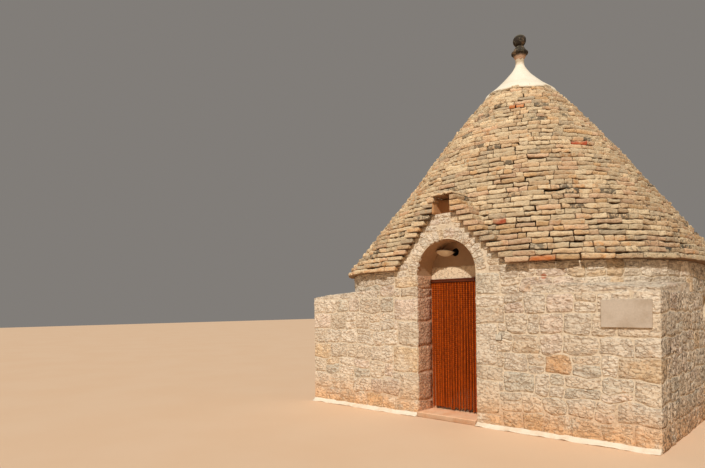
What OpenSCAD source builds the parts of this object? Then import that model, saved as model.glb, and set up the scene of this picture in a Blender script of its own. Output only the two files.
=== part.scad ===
// Trullo house: a square room of limestone blocks under a stepped cone of
// stone slabs, with a stepped gable over its arched doorway.
// Millimetres, +Z up. The origin is on the ground under the cone's axis,
// +X runs to the right along the front wall and +Y runs into the house.

/* [Walls] */
// Width of the house across the front, outside the walls
house_w = 5420; // [5000:10:6000]
// Depth of the house from front to back, outside the walls
house_d = 4900; // [4600:10:5400]
// Thickness of the stone walls
wall_t = 600; // [500:10:700]
// Height of the square corners above the ground
corner_h = 1770; // [1720:10:1850]
// Height of the walls at the underside of the eave
wall_h = 2160; // [2120:10:2300]
// Radius of the wall's rounded corners between the square ones and the eave
drum_r = 1750; // [1400:10:1850]
// Rise of the sloped ledge on each square corner
ledge_h = 90; // [50:5:150]
// Thickness of the ledge at its outer corner
ledge_edge = 20; // [10:5:40]
// Blunt end of each ledge, measured along the wall from the end of the curve
ledge_end = 300; // [150:10:500]
// Thickness of the stone floor
floor_t = 60; // [30:5:65]

/* [Doorway] */
// Width of the arched recess
door_w = 980; // [880:10:1080]
// Height of the arch's springing above the inner doorway's head
spring_up = 95; // [60:5:100]
// Depth of the recess from the wall's face to the tympanum
reveal_d = 390; // [350:10:460]
// Width of the step in each jamb beside the inner doorway
jamb_step = 60; // [40:5:100]
// Distance of the inner doorway's head below the eave
head_down = 170; // [150:5:200]
// Height of the stone lintel over the inner doorway
lintel_h = 100; // [80:5:140]
// Height of the threshold above the ground
threshold_h = 70; // [65:5:120]
// How far the threshold stands out of the wall's face
threshold_out = 40; // [20:5:80]
// Diameter of the vent hole in the tympanum
vent_d = 120; // [90:5:140]
// Distance of the vent hole's middle below the crown of the arch
vent_down = 155; // [110:5:160]
// Distance of the vent hole's middle to the left of the doorway's middle
vent_side = 67; // [50:1:80]

/* [Curtain] */
// Height of the wooden curtain rail
rail_h = 55; // [40:5:70]
// Depth of the curtain rail
rail_d = 40; // [30:5:80]
// How far the rail's top stands over the inner doorway's head
rail_up = 40; // [20:5:60]
// Thickness of the bead curtain
curtain_t = 18; // [12:1:30]
// Gap between the curtain and the jamb on each side
curtain_side = 6; // [3:1:15]
// Gap between the ends of the strands and the threshold
curtain_gap = 12; // [5:1:60]

/* [Window] */
// Width of the window along the side wall
win_w = 380; // [300:10:500]
// Height of the window
win_h = 284; // [240:2:320]
// Thickness of the slab between the window and the top of the square wall
win_slab_t = 60; // [40:5:90]
// Place of the window's middle behind the cone's axis
win_y = 20; // [-200:10:200]
// Distance of the window frame behind the wall's outer face
win_set = 210; // [150:10:300]
// Width of the frame's wooden bars
frame_w = 40; // [30:5:55]
// Depth of the frame's wooden bars
frame_d = 50; // [40:5:70]
// Thickness of the window's glass
pane_t = 5; // [4:1:8]
// Length of the slab over the window that bears on each side of it
win_slab_end = 160; // [100:10:250]

/* [Cone] */
// How far the eave stands out beyond the walls
eave_over = 155; // [120:5:200]
// Height of one course of roof slabs
course_h = 78; // [74:1:82]
// Depth of the outer layer of slabs, measured level
slab_t = 220; // [180:10:260]
// Radius of the topmost course of slabs
crown_r = 575; // [540:5:620]
// How far the slope of the roof bows outwards at its middle
roof_bow = 156; // [100:2:200]
// Share of the roof's height at which its plan has become a full circle
round_share = 0.5; // [0.4:0.05:0.6]
// Radius of the opening at the top of the inner dome
dome_top_r = 150; // [110:10:200]
// How far the inner dome bows outwards at its middle
dome_bow = 250; // [180:10:300]

/* [Gable] */
// Width of the gable at the height of the eave
gable_w = 1700; // [1640:10:1760]
// How much narrower each course of the gable is, on each side
gable_step = 68; // [64:1:70]
// How much further the foot of the gable reaches on the right
gable_flare = 130; // [0:5:140]
// Depth of the verge slabs beside the gable, measured level
verge_lap = 210; // [180:10:240]
// How far the verge slabs stand out of the gable's face
verge_over = 100; // [60:5:120]
// Width of the niche under the ridge slab
niche_w = 300; // [260:10:320]
// Depth of the niche behind the gable's face
niche_d = 200; // [120:10:260]
// Length of the ridge slab that bears on each side of the niche
ridge_end = 30; // [20:5:60]

/* [Cap and pinnacle] */
// Height of the plaster cap from the last course to its neck
cap_h = 655; // [600:5:760]
// How far the cap's foot stands out beyond the topmost course
cap_lap = 25; // [10:5:50]
// Radius of the cap's neck
neck_r = 72; // [60:2:90]
// Height of the stone bowl on the neck
bowl_h = 240; // [200:10:260]
// Radius of the bowl's rim
bowl_r = 142; // [130:2:170]
// Diameter of the stone ball
ball_d = 220; // [200:5:240]
// Depth to which the ball is seated in the bowl
ball_seat = 20; // [10:5:35]
// Radius at which the bowl's lid ends under the ball
lid_r = 55; // [40:5:70]

/* [Fittings] */
// Distance of the half bowl's rim below the crown of the arch
sconce_down = 156; // [150:2:190]
// Gap between the half bowl's left end and the arch
sconce_gap = 6; // [3:1:15]
// Distance of the half bowl's right end from the doorway's middle
sconce_in = 78; // [66:2:100]
// Height of the half bowl at the wall
sconce_h = 54; // [44:2:70]
// Distance of the half bowl's middle in front of the tympanum
sconce_out = 12; // [4:2:24]
// Angle by which the half bowl's rim rises towards its front
sconce_tilt = 10; // [4:1:16]
// Thickness of the half bowl's shell
sconce_t = 14; // [10:1:20]
// Width of the blank plaque on the front wall
plaque_w = 530; // [480:10:560]
// Height of the plaque
plaque_h = 315; // [280:5:340]
// Thickness of the plaque
plaque_t = 30; // [20:1:45]
// Distance of the plaque from the front wall's right corner
plaque_in = 72; // [40:2:200]
// Distance of the plaque's upper edge below the top of the square corners
plaque_down = 98; // [60:2:200]
// Width of the bell's box beside the doorway
bell_w = 90; // [50:5:90]
// Height of the bell's box
bell_h = 75; // [70:5:120]
// Thickness of the bell's box
bell_t = 28; // [20:1:35]
// Distance of the bell's box from the edge of the doorway
bell_in = 295; // [200:5:400]
// Height of the bell's box above the ground
bell_z = 1165; // [1000:5:1300]
// Height and depth of the lime fillet along the foot of the front wall
fillet = 75; // [40:5:100]

/* [Hidden] */
// Number of slab courses from the eave to the cap
course_n = 40;
// Number of courses that the inner dome's hollow passes through
dome_n = 35;
// Numbers of courses in one tier of roof slabs and in one tier of the dome
roof_tier_n = 8;
dome_tier_n = 6;
// Number of courses from the eave to the ridge slab
gable_n = 13;
// Number of courses that the niche under the ridge slab takes
niche_n = 3;
// Depth of a cut that runs out past a face
over = 50;
half_w = house_w / 2;
half_d = house_d / 2;
in_w = half_w - wall_t;
in_d = half_d - wall_t;
front = -half_d;
tympanum_y = front + reveal_d;
wall_back = front + wall_t;
arch_r = door_w / 2;
inner_door = door_w / 2 - jamb_step;
inner_h = wall_h - head_down;
spring_h = inner_h + spring_up;
crown_z = spring_h + arch_r;
lintel_top = inner_h + lintel_h;
rail_top = inner_h + rail_up;
ledge_r = drum_r * sqrt(2);
vent_z = crown_z - vent_down;
rim_z = crown_z - sconce_down;
rim_arch = sqrt(arch_r * arch_r - (rim_z - spring_h) * (rim_z - spring_h));
sconce_half = (rim_arch - sconce_gap - sconce_in) / 2;
sconce_r = sqrt(sconce_half * sconce_half + sconce_out * sconce_out);
sconce_x = sconce_in + sconce_half;
plaque_z = corner_h - plaque_down - plaque_h;
win_head = corner_h - win_slab_t;
win_sill = win_head - win_h;
win_front = win_y - win_w / 2;
win_rear = win_y + win_w / 2;
cap_z = wall_h + course_n * course_h;
neck_z = cap_z + cap_h;
bowl_z = neck_z + bowl_h;
cap_points = 14;
cap_power = 1.4;
cap_flare = 0.87;

// Share of the way up to a height at which the plan is a full circle
function blend(s) = min(1, s / round_share);
// Outward bow of a slope at the share s of its height
function bow(s, b) = 4 * b * s * (1 - s);
// Radius of the plan's corners, from r0 at the foot to r1 at the top
function corner(s, w, d, r0, r1, b) =
    (1 - s) * ((w + d) / 2 * blend(s) + r0 * (1 - blend(s))) + r1 * s + bow(s, b);
// Half of the straight run between two corners, for a side of half length a
function straight(s, a, r0) = (a - r0) * (1 - blend(s)) * (1 - s);

// Half width of the gable at a course, and of the slabs that cover it
function gable_half(i) = max(gable_w / 2 - i * gable_step, niche_w / 2);
function verge_half(i) =
    max(gable_w / 2 - i * gable_step + verge_lap, niche_w / 2 + ridge_end);

// A rectangle with round corners, from its straight half runs and its radius
module rounded(sx, sy, r) {
    if (min(sx, sy) > 1) {
        square([2 * (sx + r), 2 * sy], center = true);
        square([2 * sx, 2 * (sy + r)], center = true);
        for (x = [-sx, sx], y = [-sy, sy])
            translate([x, y]) circle(r, $fn = 64);
    } else {
        circle(r + max(sx, sy), $fn = 64);
    }
}

// Plan of the roof's outer face, or of a face that lies inset behind it
module roof_plan(s, inset) {
    w = half_w + eave_over;
    d = half_d + eave_over;
    r0 = drum_r + eave_over;
    rounded(straight(s, w, r0), straight(s, d, r0), corner(s, w, d, r0, crown_r, roof_bow) - inset);
}

// Plan of the hollow inside the dome
module dome_plan(s) {
    r0 = drum_r - wall_t;
    rounded(straight(s, in_w, r0), straight(s, in_d, r0),
        corner(s, in_w, in_d, r0, dome_top_r, dome_bow));
}

// Share of the roof's and of the dome's height at the middle of a course
function roof_share(i) = (i + 0.5) / course_n;
function dome_share(i) = i / (dome_n - 1);

// What the gable's right side adds at a course, fading out over six courses
function gable_more(i) = i < 6 ? gable_flare * pow(1 - i / 6, 1.5) : 0;

// Plan of the hole that a course leaves for the gable wall or the niche
module gable_gap(i) {
    depth = i < gable_n - niche_n ? wall_t : niche_d;
    if (i < gable_n)
        translate([-gable_half(i), front - verge_over - over])
            square([2 * gable_half(i) + gable_more(i), verge_over + over + depth]);
    else if (i == gable_n)
        translate([-verge_half(i), front - verge_over - over])
            square([2 * verge_half(i), verge_over + over + niche_d]);
}

// One ring of roof slabs, with the verge slabs over the gable
module roof_course(i) {
    translate([0, 0, wall_h + i * course_h])
        linear_extrude(course_h)
            difference() {
                union() {
                    roof_plan(roof_share(i), 0);
                    if (i <= gable_n)
                        translate([-verge_half(i), front - verge_over])
                            square([2 * verge_half(i) + gable_more(i), house_d / 4]);
                }
                roof_plan(roof_share(i), slab_t);
                gable_gap(i);
            }
}

module roof_tier(first, last) {
    color([0.86, 0.74, 0.56])
        for (i = [first:last]) roof_course(i);
}

// One ring of the corbelled dome behind the slabs
module dome_course(i) {
    translate([0, 0, wall_h + i * course_h])
        linear_extrude(course_h)
            difference() {
                roof_plan(roof_share(i), slab_t);
                if (i < dome_n) dome_plan(dome_share(i));
                gable_gap(i);
            }
}

module dome_tier(first, last) {
    color([0.80, 0.72, 0.60])
        difference() {
            for (i = [first:last]) dome_course(i);
            vent_hole();
        }
}

// Upright arch of the doorway, from height z0 up, between two depths
module arch(z0, y0, y1) {
    translate([0, y1, 0])
        rotate([90, 0, 0])
            linear_extrude(y1 - y0) {
                translate([-arch_r, z0]) square([door_w, spring_h - z0]);
                translate([0, spring_h])
                    intersection() {
                        circle(arch_r, $fn = 96);
                        translate([-door_w, 0]) square([2 * door_w, door_w]);
                    }
            }
}

// Everything that is open between the jambs and under the arch
module doorway() {
    arch(-over, front - over, tympanum_y);
    arch(inner_h, tympanum_y - over, wall_back + over);
    translate([-inner_door, tympanum_y - over, -over])
        cube([2 * inner_door, wall_t - reveal_d + 2 * over, inner_h + 2 * over]);
}

module vent_hole() {
    translate([-vent_side, tympanum_y - over, vent_z])
        rotate([-90, 0, 0]) cylinder(d = vent_d, h = wall_t, $fn = 64);
}

module floor() {
    color([0.72, 0.66, 0.56])
        translate([-in_w, -in_d, 0]) cube([2 * in_w, 2 * in_d, floor_t]);
}

module threshold() {
    color([0.78, 0.72, 0.62]) {
        translate([-arch_r, front - threshold_out, 0])
            cube([door_w, threshold_out + reveal_d, threshold_h]);
        translate([-inner_door, tympanum_y, 0])
            cube([2 * inner_door, wall_t - reveal_d, threshold_h]);
    }
}

// Lime fillets that seal the front wall's foot, one each side of the doorway
module lime_fillet() {
    color([0.93, 0.91, 0.86])
        for (x0 = [-half_w, arch_r])
            translate([x0, front, 0])
                rotate([90, 0, 90])
                    linear_extrude(half_w - arch_r)
                        polygon([[0, 0], [-fillet, 0], [-fillet, fillet / 4], [0, fillet]]);
}

module front_wall(side) {
    x0 = side < 0 ? -half_w : 0;
    color([0.86, 0.78, 0.66])
        difference() {
            translate([x0, front, 0]) cube([half_w, wall_t, corner_h]);
            doorway();
        }
}
module front_wall_left() { front_wall(-1); }
module front_wall_right() { front_wall(1); }

module left_wall() {
    color([0.84, 0.76, 0.64])
        translate([-half_w, wall_back, 0]) cube([wall_t, 2 * in_d, corner_h]);
}
module back_wall() {
    color([0.84, 0.76, 0.64])
        translate([-half_w, in_d, 0]) cube([house_w, wall_t, corner_h]);
}

// A length of the right wall, between two depths and two heights
module right_wall(y0, y1, z0, z1) {
    color([0.80, 0.73, 0.62])
        translate([in_w, y0, z0]) cube([wall_t, y1 - y0, z1 - z0]);
}
// The wall beside the window, notched for the ends of the slab over it
module right_wall_front() {
    difference() {
        right_wall(-in_d, win_front, 0, corner_h);
        window_slab();
    }
}
module right_wall_rear() {
    difference() {
        right_wall(win_rear, in_d, 0, corner_h);
        window_slab();
    }
}
module right_wall_under_window() { right_wall(win_front, win_rear, 0, win_sill); }

module window_slab() {
    translate([in_w, win_front - win_slab_end, win_head])
        cube([wall_t, win_w + 2 * win_slab_end, win_slab_t]);
}
module window_lintel() { color([0.78, 0.71, 0.60]) window_slab(); }

module window_frame() {
    color([0.38, 0.20, 0.10])
        translate([half_w - win_set - frame_d, win_front, win_sill])
            difference() {
                cube([frame_d, win_w, win_h]);
                translate([-over, frame_w, frame_w])
                    cube([frame_d + 2 * over, (win_w - 3 * frame_w) / 2, win_h - 2 * frame_w]);
                translate([-over, win_w / 2 + frame_w / 2, frame_w])
                    cube([frame_d + 2 * over, (win_w - 3 * frame_w) / 2, win_h - 2 * frame_w]);
            }
}
module window_pane() {
    color([0.35, 0.42, 0.46, 0.5])
        for (y = [frame_w, win_w / 2 + frame_w / 2])
            translate([half_w - win_set - frame_d / 2 - pane_t / 2, win_front + y, win_sill + frame_w])
                cube([pane_t, (win_w - 3 * frame_w) / 2, win_h - 2 * frame_w]);
}

// Sloped stone that covers a square corner around the rounded wall above it
module ledge(sx, sy) {
    color([0.80, 0.73, 0.62])
        translate([sx * (half_w - drum_r), sy * (half_d - drum_r), corner_h])
            difference() {
                intersection() {
                    translate([sx > 0 ? ledge_end : -drum_r, sy > 0 ? ledge_end : -drum_r, 0])
                        cube([drum_r - ledge_end, drum_r - ledge_end, ledge_edge + ledge_h]);
                    union() {
                        cylinder(r = ledge_r, h = ledge_edge, $fn = 96);
                        translate([0, 0, ledge_edge])
                            cylinder(r1 = ledge_r, r2 = drum_r, h = ledge_h, $fn = 96);
                    }
                }
                translate([0, 0, -over])
                    cylinder(r = drum_r, h = ledge_edge + ledge_h + 2 * over, $fn = 96);
            }
}
module ledge_front_left() { ledge(-1, -1); }
module ledge_front_right() { ledge(1, -1); }
module ledge_back_left() { ledge(-1, 1); }
module ledge_back_right() { ledge(1, 1); }

// A quarter of the rounded wall between the square corners and the eave
module drum(sx, sy) {
    color([0.86, 0.78, 0.66])
        difference() {
            translate([0, 0, corner_h])
                linear_extrude(wall_h - corner_h)
                    intersection() {
                        difference() {
                            rounded(half_w - drum_r, half_d - drum_r, drum_r);
                            rounded(half_w - drum_r, half_d - drum_r, drum_r - wall_t);
                        }
                        translate([sx > 0 ? 0 : -house_w, sy > 0 ? 0 : -house_d])
                            square([house_w, house_d]);
                    }
            doorway();
        }
}
module drum_front_left() { drum(-1, -1); }
module drum_front_right() { drum(1, -1); }
module drum_back_left() { drum(-1, 1); }
module drum_back_right() { drum(1, 1); }

module door_lintel() {
    color([0.80, 0.73, 0.62])
        translate([-arch_r, tympanum_y, inner_h])
            cube([door_w, wall_t - reveal_d, lintel_h]);
}

module tympanum() {
    color([0.78, 0.64, 0.50])
        difference() {
            intersection() {
                arch(inner_h, tympanum_y, wall_back);
                translate([-door_w, tympanum_y - over, lintel_top])
                    cube([2 * door_w, wall_t, door_w]);
            }
            vent_hole();
        }
}

// Stepped gable over the doorway, one step behind each course of verge slabs
module gable_wall() {
    color([0.86, 0.78, 0.66])
        difference() {
            for (i = [0:gable_n - niche_n - 1])
                translate([-gable_half(i), front, wall_h + i * course_h])
                    cube([2 * gable_half(i) + gable_more(i), wall_t, course_h]);
            doorway();
        }
}

module ridge_slab() {
    color([0.80, 0.68, 0.52])
        translate([-verge_half(gable_n), front - verge_over, wall_h + gable_n * course_h])
            cube([2 * verge_half(gable_n), verge_over + niche_d, course_h]);
}

module dome_tier_1() { dome_tier(0, 2 * dome_tier_n - 1); }
module dome_tier_2() { dome_tier(2 * dome_tier_n, 3 * dome_tier_n - 1); }
module dome_tier_3() { dome_tier(3 * dome_tier_n, 4 * dome_tier_n - 1); }
module dome_tier_4() { dome_tier(4 * dome_tier_n, 5 * dome_tier_n - 1); }
module dome_tier_5() { dome_tier(5 * dome_tier_n, dome_n - 1); }
module dome_crown() { dome_tier(dome_n, course_n - 1); }

module eave_course() { roof_tier(0, 0); }
module roof_tier_1() { roof_tier(1, roof_tier_n); }
module roof_tier_2() { roof_tier(roof_tier_n + 1, 2 * roof_tier_n); }
module roof_tier_3() { roof_tier(2 * roof_tier_n + 1, 3 * roof_tier_n); }
module roof_tier_4() { roof_tier(3 * roof_tier_n + 1, 4 * roof_tier_n); }
module roof_tier_5() { roof_tier(4 * roof_tier_n + 1, course_n - 1); }

// Plaster cap that flares from its neck down on to the topmost course
module plaster_cap() {
    foot_r = crown_r + cap_lap;
    color([0.96, 0.93, 0.84])
        translate([0, 0, cap_z])
            rotate_extrude($fn = 96)
                polygon(concat([[0, 0]],
                    [for (k = [0:cap_points])
                        let (h = k / cap_points, rest = max(0, 1 - h / cap_flare))
                        [neck_r + (foot_r - neck_r) * pow(rest, cap_power), h * cap_h]],
                    [[0, cap_h]]));
}

module ball() {
    translate([0, 0, bowl_z - ball_seat + ball_d / 2]) sphere(d = ball_d, $fn = 64);
}
module pinnacle_bowl() {
    color([0.45, 0.42, 0.34])
        difference() {
            translate([0, 0, neck_z])
                rotate_extrude($fn = 64)
                    polygon([[0, 0], [neck_r, 0], [bowl_r, bowl_h * 0.4], [bowl_r, bowl_h * 0.55],
                        [(bowl_r + lid_r) / 2, bowl_h * 0.82], [lid_r, bowl_h], [0, bowl_h]]);
            ball();
        }
}
module pinnacle_ball() { color([0.42, 0.39, 0.31]) ball(); }

module curtain_rail() {
    color([0.45, 0.16, 0.07])
        translate([-arch_r, tympanum_y - rail_d, rail_top - rail_h])
            cube([door_w, rail_d, rail_h]);
}
module bead_curtain() {
    foot = threshold_h + curtain_gap;
    color([0.62, 0.28, 0.06])
        translate([-arch_r + curtain_side, tympanum_y - rail_d / 2 - curtain_t / 2, foot])
            cube([door_w - 2 * curtain_side, curtain_t, rail_top - rail_h - foot]);
}

// Half bowl of pale stone on the tympanum, open at its top, with a rim that rises to the front
module wall_sconce() {
    bowl_sphere = (sconce_r * sconce_r + sconce_h * sconce_h) / (2 * sconce_h);
    reach = 2 * sconce_r;
    color([0.90, 0.82, 0.68])
        intersection() {
            translate([-sconce_x, tympanum_y - sconce_out, rim_z - sconce_h + bowl_sphere])
                difference() {
                    sphere(bowl_sphere, $fn = 96);
                    sphere(bowl_sphere - sconce_t, $fn = 96);
                }
            translate([-sconce_x - reach, tympanum_y - reach, rim_z - reach])
                cube([2 * reach, reach, 2 * reach]);
            translate([-sconce_x, tympanum_y, rim_z])
                rotate([-sconce_tilt, 0, 0])
                    translate([-reach, -reach, -reach]) cube([2 * reach, 2 * reach, reach]);
        }
}

module plaque() {
    color([0.80, 0.70, 0.56])
        translate([half_w - plaque_in - plaque_w, front - plaque_t, plaque_z])
            cube([plaque_w, plaque_t, plaque_h]);
}
module bell_box() {
    color([0.35, 0.32, 0.28])
        translate([arch_r + bell_in, front - bell_t, bell_z])
            cube([bell_w, bell_t, bell_h]);
}

floor();
threshold();
lime_fillet();
front_wall_left();
front_wall_right();
left_wall();
back_wall();
right_wall_front();
right_wall_rear();
right_wall_under_window();
window_lintel();
window_frame();
window_pane();
ledge_front_left();
ledge_front_right();
ledge_back_left();
ledge_back_right();
drum_front_left();
drum_front_right();
drum_back_left();
drum_back_right();
door_lintel();
tympanum();
gable_wall();
ridge_slab();
dome_tier_1();
dome_tier_2();
dome_tier_3();
dome_tier_4();
dome_tier_5();
dome_crown();
eave_course();
roof_tier_1();
roof_tier_2();
roof_tier_3();
roof_tier_4();
roof_tier_5();
plaster_cap();
pinnacle_bowl();
pinnacle_ball();
curtain_rail();
bead_curtain();
wall_sconce();
plaque();
bell_box();
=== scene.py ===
"""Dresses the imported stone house: laid roof slabs, hewn wall blocks, plaster, beads and fittings.

Metres, +Z up. The origin is on the ground under the cone's axis, +X runs to the right along the
front wall and +Y runs into the house. Every shape is worked out with numpy as grids of points.
"""

import sys
import itertools
import logging
import math
from dataclasses import dataclass, field
from enum import Enum
from typing import Callable, NamedTuple, Sequence

import bmesh
import bpy
import numpy as np
from mathutils import Matrix, Vector


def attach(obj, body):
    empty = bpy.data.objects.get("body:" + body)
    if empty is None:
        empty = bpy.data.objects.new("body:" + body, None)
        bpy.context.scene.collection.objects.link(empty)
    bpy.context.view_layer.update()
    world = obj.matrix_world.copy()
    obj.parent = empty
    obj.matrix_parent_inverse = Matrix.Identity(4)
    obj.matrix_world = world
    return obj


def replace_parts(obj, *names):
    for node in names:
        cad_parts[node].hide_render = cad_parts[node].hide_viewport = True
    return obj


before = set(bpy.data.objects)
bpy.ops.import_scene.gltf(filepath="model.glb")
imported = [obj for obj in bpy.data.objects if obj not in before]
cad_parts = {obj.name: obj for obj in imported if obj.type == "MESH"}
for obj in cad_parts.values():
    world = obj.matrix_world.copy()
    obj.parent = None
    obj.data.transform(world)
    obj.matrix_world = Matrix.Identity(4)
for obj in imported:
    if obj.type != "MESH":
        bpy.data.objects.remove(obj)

log = logging.getLogger("stone_house")
Array = np.ndarray
Pair = tuple[float, float]
Triple = tuple[float, float, float]
Colour = Triple
Material = bpy.types.Material
Placing = Callable[[Array, Array, Array], Array]
BODY = "root"


@dataclass(frozen=True)
class House:
    """Sizes that the sub-assemblies share."""

    half_w: float = 2.71
    half_d: float = 2.45
    corner_h: float = 1.77
    wall_h: float = 2.16
    wall_round: float = 1.75
    arch_r: float = 0.49
    spring: float = 2.085
    recess: float = -2.06
    course: float = 0.078

    @property
    def front(self) -> float:
        """Place of the front wall's face."""
        return -self.half_d


# Numbers without a pattern


def hashed(keys: Array, seed: int) -> Array:
    """Works out repeatable random numbers by mixing the bits of whole-numbered keys.

    Args:
        keys: Whole numbers, with the keys of one value along the last axis.
        seed: Number that sets one series apart from the others.

    Returns:
        Values from 0 to 1, in the shape of the keys without their last axis.
    """
    keys = np.asarray(keys).astype(np.int64).astype(np.uint64)
    total = np.full(keys.shape[:-1], (seed * 0x9E3779B97F4A7C15 + 0x1234567) % 2**64, np.uint64)
    for index in range(keys.shape[-1]):
        total = (total ^ keys[..., index]) * np.uint64(0xBF58476D1CE4E5B9)
        total = total ^ (total >> np.uint64(29))
        total = total * np.uint64(0x94D049BB133111EB)
        total = total ^ (total >> np.uint64(32))
    return (total >> np.uint64(11)).astype(float) / 2**53


def value_noise(points: Array, size: float, seed: int) -> Array:
    """Blends hashed values of a lattice: weights are smooth steps of the place within a cell.

    Args:
        points: Points, with their coordinates along the last axis.
        size: Width of a lattice cell in metres.
        seed: Number that sets one pattern apart from the others.

    Returns:
        Smooth values from -1 to 1, one for each point.
    """
    cell = points / size
    base = np.floor(cell)
    part = cell - base
    part = part * part * (3 - 2 * part)
    total = np.zeros(points.shape[:-1])
    for corner in itertools.product((0, 1), repeat=points.shape[-1]):
        step = np.array(corner)
        weight = np.prod(np.where(step == 1, part, 1 - part), axis=-1)
        total += weight * hashed(base + step, seed)
    return 2 * total - 1


def rough(points: Array, size: float, depth: float, seed: int, octaves: int = 3) -> Array:
    """Adds layers of value noise, each with half the size and half the depth of the last.

    Args:
        points: Points, with their coordinates along the last axis.
        size: Width of the largest bumps in metres.
        depth: Height of the largest bumps in metres.
        seed: Number that sets one pattern apart from the others.
        octaves: Number of layers.

    Returns:
        One height for each point.
    """
    layers = [value_noise(points, size / 2**k, seed + 31 * k) * depth / 2**k for k in range(octaves)]
    return np.sum(layers, axis=0)


def rough_moves(points: Array, size: float, depth: float, seed: int, count: int, octaves: int = 3) -> Array:
    """Stacks rough heights, one for each of count coordinates, as a shift of the points."""
    return np.stack([rough(points, size, depth, seed + k, octaves) for k in range(count)], -1)


def drawn(count: int, seed: int) -> Array:
    """Gives a row of random numbers from 0 to 1."""
    return hashed(np.arange(count)[:, None], seed)


def shared_out(start: float, end: float, widths: Array) -> Array:
    """Places joints from start to end, with gaps in proportion to the widths."""
    return start + (end - start) * np.concatenate([[0], np.cumsum(widths) / widths.sum()])


# Meshes from grids


@dataclass
class Draft:
    """Collects grids of points, with marks for the materials, into one mesh."""

    marks: tuple[str, ...] = ("tone", "hue", "edge", "rise")
    points: list[Array] = field(default_factory=list)
    faces: list[list[int]] = field(default_factory=list)
    flat_faces: list[list[int]] = field(default_factory=list)
    values: dict[str, list[Array]] = field(default_factory=dict)
    count: int = 0

    def _store(self, grid: Array, smooth: Array, flat: Sequence[Array], marks: dict[str, Array]) -> None:
        """Keeps the points and faces of equal closed shapes, turned so that they face outwards.

        Args:
            grid: Points of n shapes, as (n, rows, columns, 3).
            smooth: Corners of each shape's smooth faces, as (faces, 4).
            flat: Corners of its flat faces, in groups of (faces, corners).
            marks: Values of the marks, each as (n, rows, columns) or something that spreads to it.
        """
        shapes, size = grid.shape[0], grid.shape[1] * grid.shape[2]
        turned = -1 if self._volume(grid[0].reshape(size, 3), [smooth, *flat]) < 0 else 1
        start = (self.count + size * np.arange(shapes))[:, None, None]
        self.faces += (start + smooth[:, ::turned]).reshape(-1, 4).tolist()
        for group in flat:
            self.flat_faces += (start + group[:, ::turned]).reshape(-1, group.shape[1]).tolist()
        self.points.append(grid.reshape(-1, 3))
        for name in self.marks:
            value = np.broadcast_to(marks.get(name, 0.5), grid.shape[:3])
            self.values.setdefault(name, []).append(value.reshape(-1))
        self.count += shapes * size

    @staticmethod
    def _volume(points: Array, groups: Sequence[Array]) -> float:
        """Adds up the signed volumes between the middle of a shape and each of its faces.

        Args:
            points: Points of the shape.
            groups: Corners of its faces, in groups of (faces, corners).

        Returns:
            Six times the volume, negative where the faces point inwards.
        """
        centred = points - points.mean(axis=0)
        total = 0.0
        for faces in groups:
            for k in range(1, faces.shape[1] - 1):
                one, two, three = (centred[faces[:, j]] for j in (0, k, k + 1))
                total += float(np.sum(one * np.cross(two, three)))
        return total

    def add_sheets(self, grid: Array, **marks: Array) -> None:
        """Adds n sheets with flat outer cells, each closed by one flat face across its rim.

        Args:
            grid: Points of the sheets, as (n, rows, columns, 3).
            **marks: Values of the marks, each as (n, rows, columns) or spreading to it.
        """
        rows, columns = grid.shape[1:3]
        index = np.arange(rows * columns).reshape(rows, columns)
        quads = np.stack([index[:-1, :-1], index[1:, :-1], index[1:, 1:], index[:-1, 1:]], -1)
        inner = np.zeros(quads.shape[:2], bool)
        inner[1:-1, 1:-1] = True
        rim = np.concatenate([index[0, :-1], index[:-1, -1], index[-1, :0:-1], index[:0:-1, 0]])
        self._store(grid, quads[inner], [quads[~inner], rim[None, :]], marks)

    def add_tubes(self, grid: Array, **marks: Array) -> None:
        """Adds n tubes: a closed profile carried along stations, with a flat face at each end.

        Args:
            grid: Points of the tubes, as (n, stations, points of the profile, 3).
            **marks: Values of the marks, each as (n, stations, points) or spreading to it.
        """
        stations, around = grid.shape[1:3]
        index = np.arange(stations * around).reshape(stations, around)
        turned = np.roll(index, -1, axis=1)
        quads = np.stack([index[:-1], turned[:-1], turned[1:], index[1:]], -1).reshape(-1, 4)
        caps = np.stack([index[0, ::-1], index[-1]])
        self._store(grid, quads, [caps], marks)

    def build(self, name: str, material: Material, slot: str, weld: bool = False) -> bpy.types.Object:
        """Makes the object, with smooth faces and the marks as point attributes.

        Args:
            name: Name of the object.
            material: Its finish.
            slot: Name of the record's material slot, which is not used.
            weld: Whether points that coincide, such as those at a pole, are merged.

        Returns:
            The object, linked to the scene and riding on the house.
        """
        mesh = bpy.data.meshes.new(name)
        mesh.from_pydata(np.concatenate(self.points), [], self.faces + self.flat_faces)
        for mark in self.marks:
            values = np.concatenate(self.values[mark]).astype(np.float32)
            mesh.attributes.new(mark, "FLOAT", "POINT").data.foreach_set("value", values)
        smooth = np.ones(len(mesh.polygons), bool)
        smooth[len(self.faces) :] = False
        mesh.polygons.foreach_set("use_smooth", smooth)
        if weld:
            self._weld(mesh)
        mesh.materials.append(material)
        obj = bpy.data.objects.new(name, mesh)
        bpy.context.scene.collection.objects.link(obj)
        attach(obj, BODY)
        log.info("%s: %d faces", name, len(mesh.polygons))
        return obj

    @staticmethod
    def _weld(mesh: bpy.types.Mesh) -> None:
        """Merges points that coincide and turns the faces outwards again.

        Args:
            mesh: Mesh to mend.
        """
        work = bmesh.new()
        work.from_mesh(mesh)
        bmesh.ops.remove_doubles(work, verts=work.verts, dist=1e-5)
        bmesh.ops.dissolve_degenerate(work, edges=work.edges, dist=1e-6)
        bmesh.ops.recalc_face_normals(work, faces=work.faces)
        work.to_mesh(mesh)
        work.free()


# Outlines on the ground plan


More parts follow.
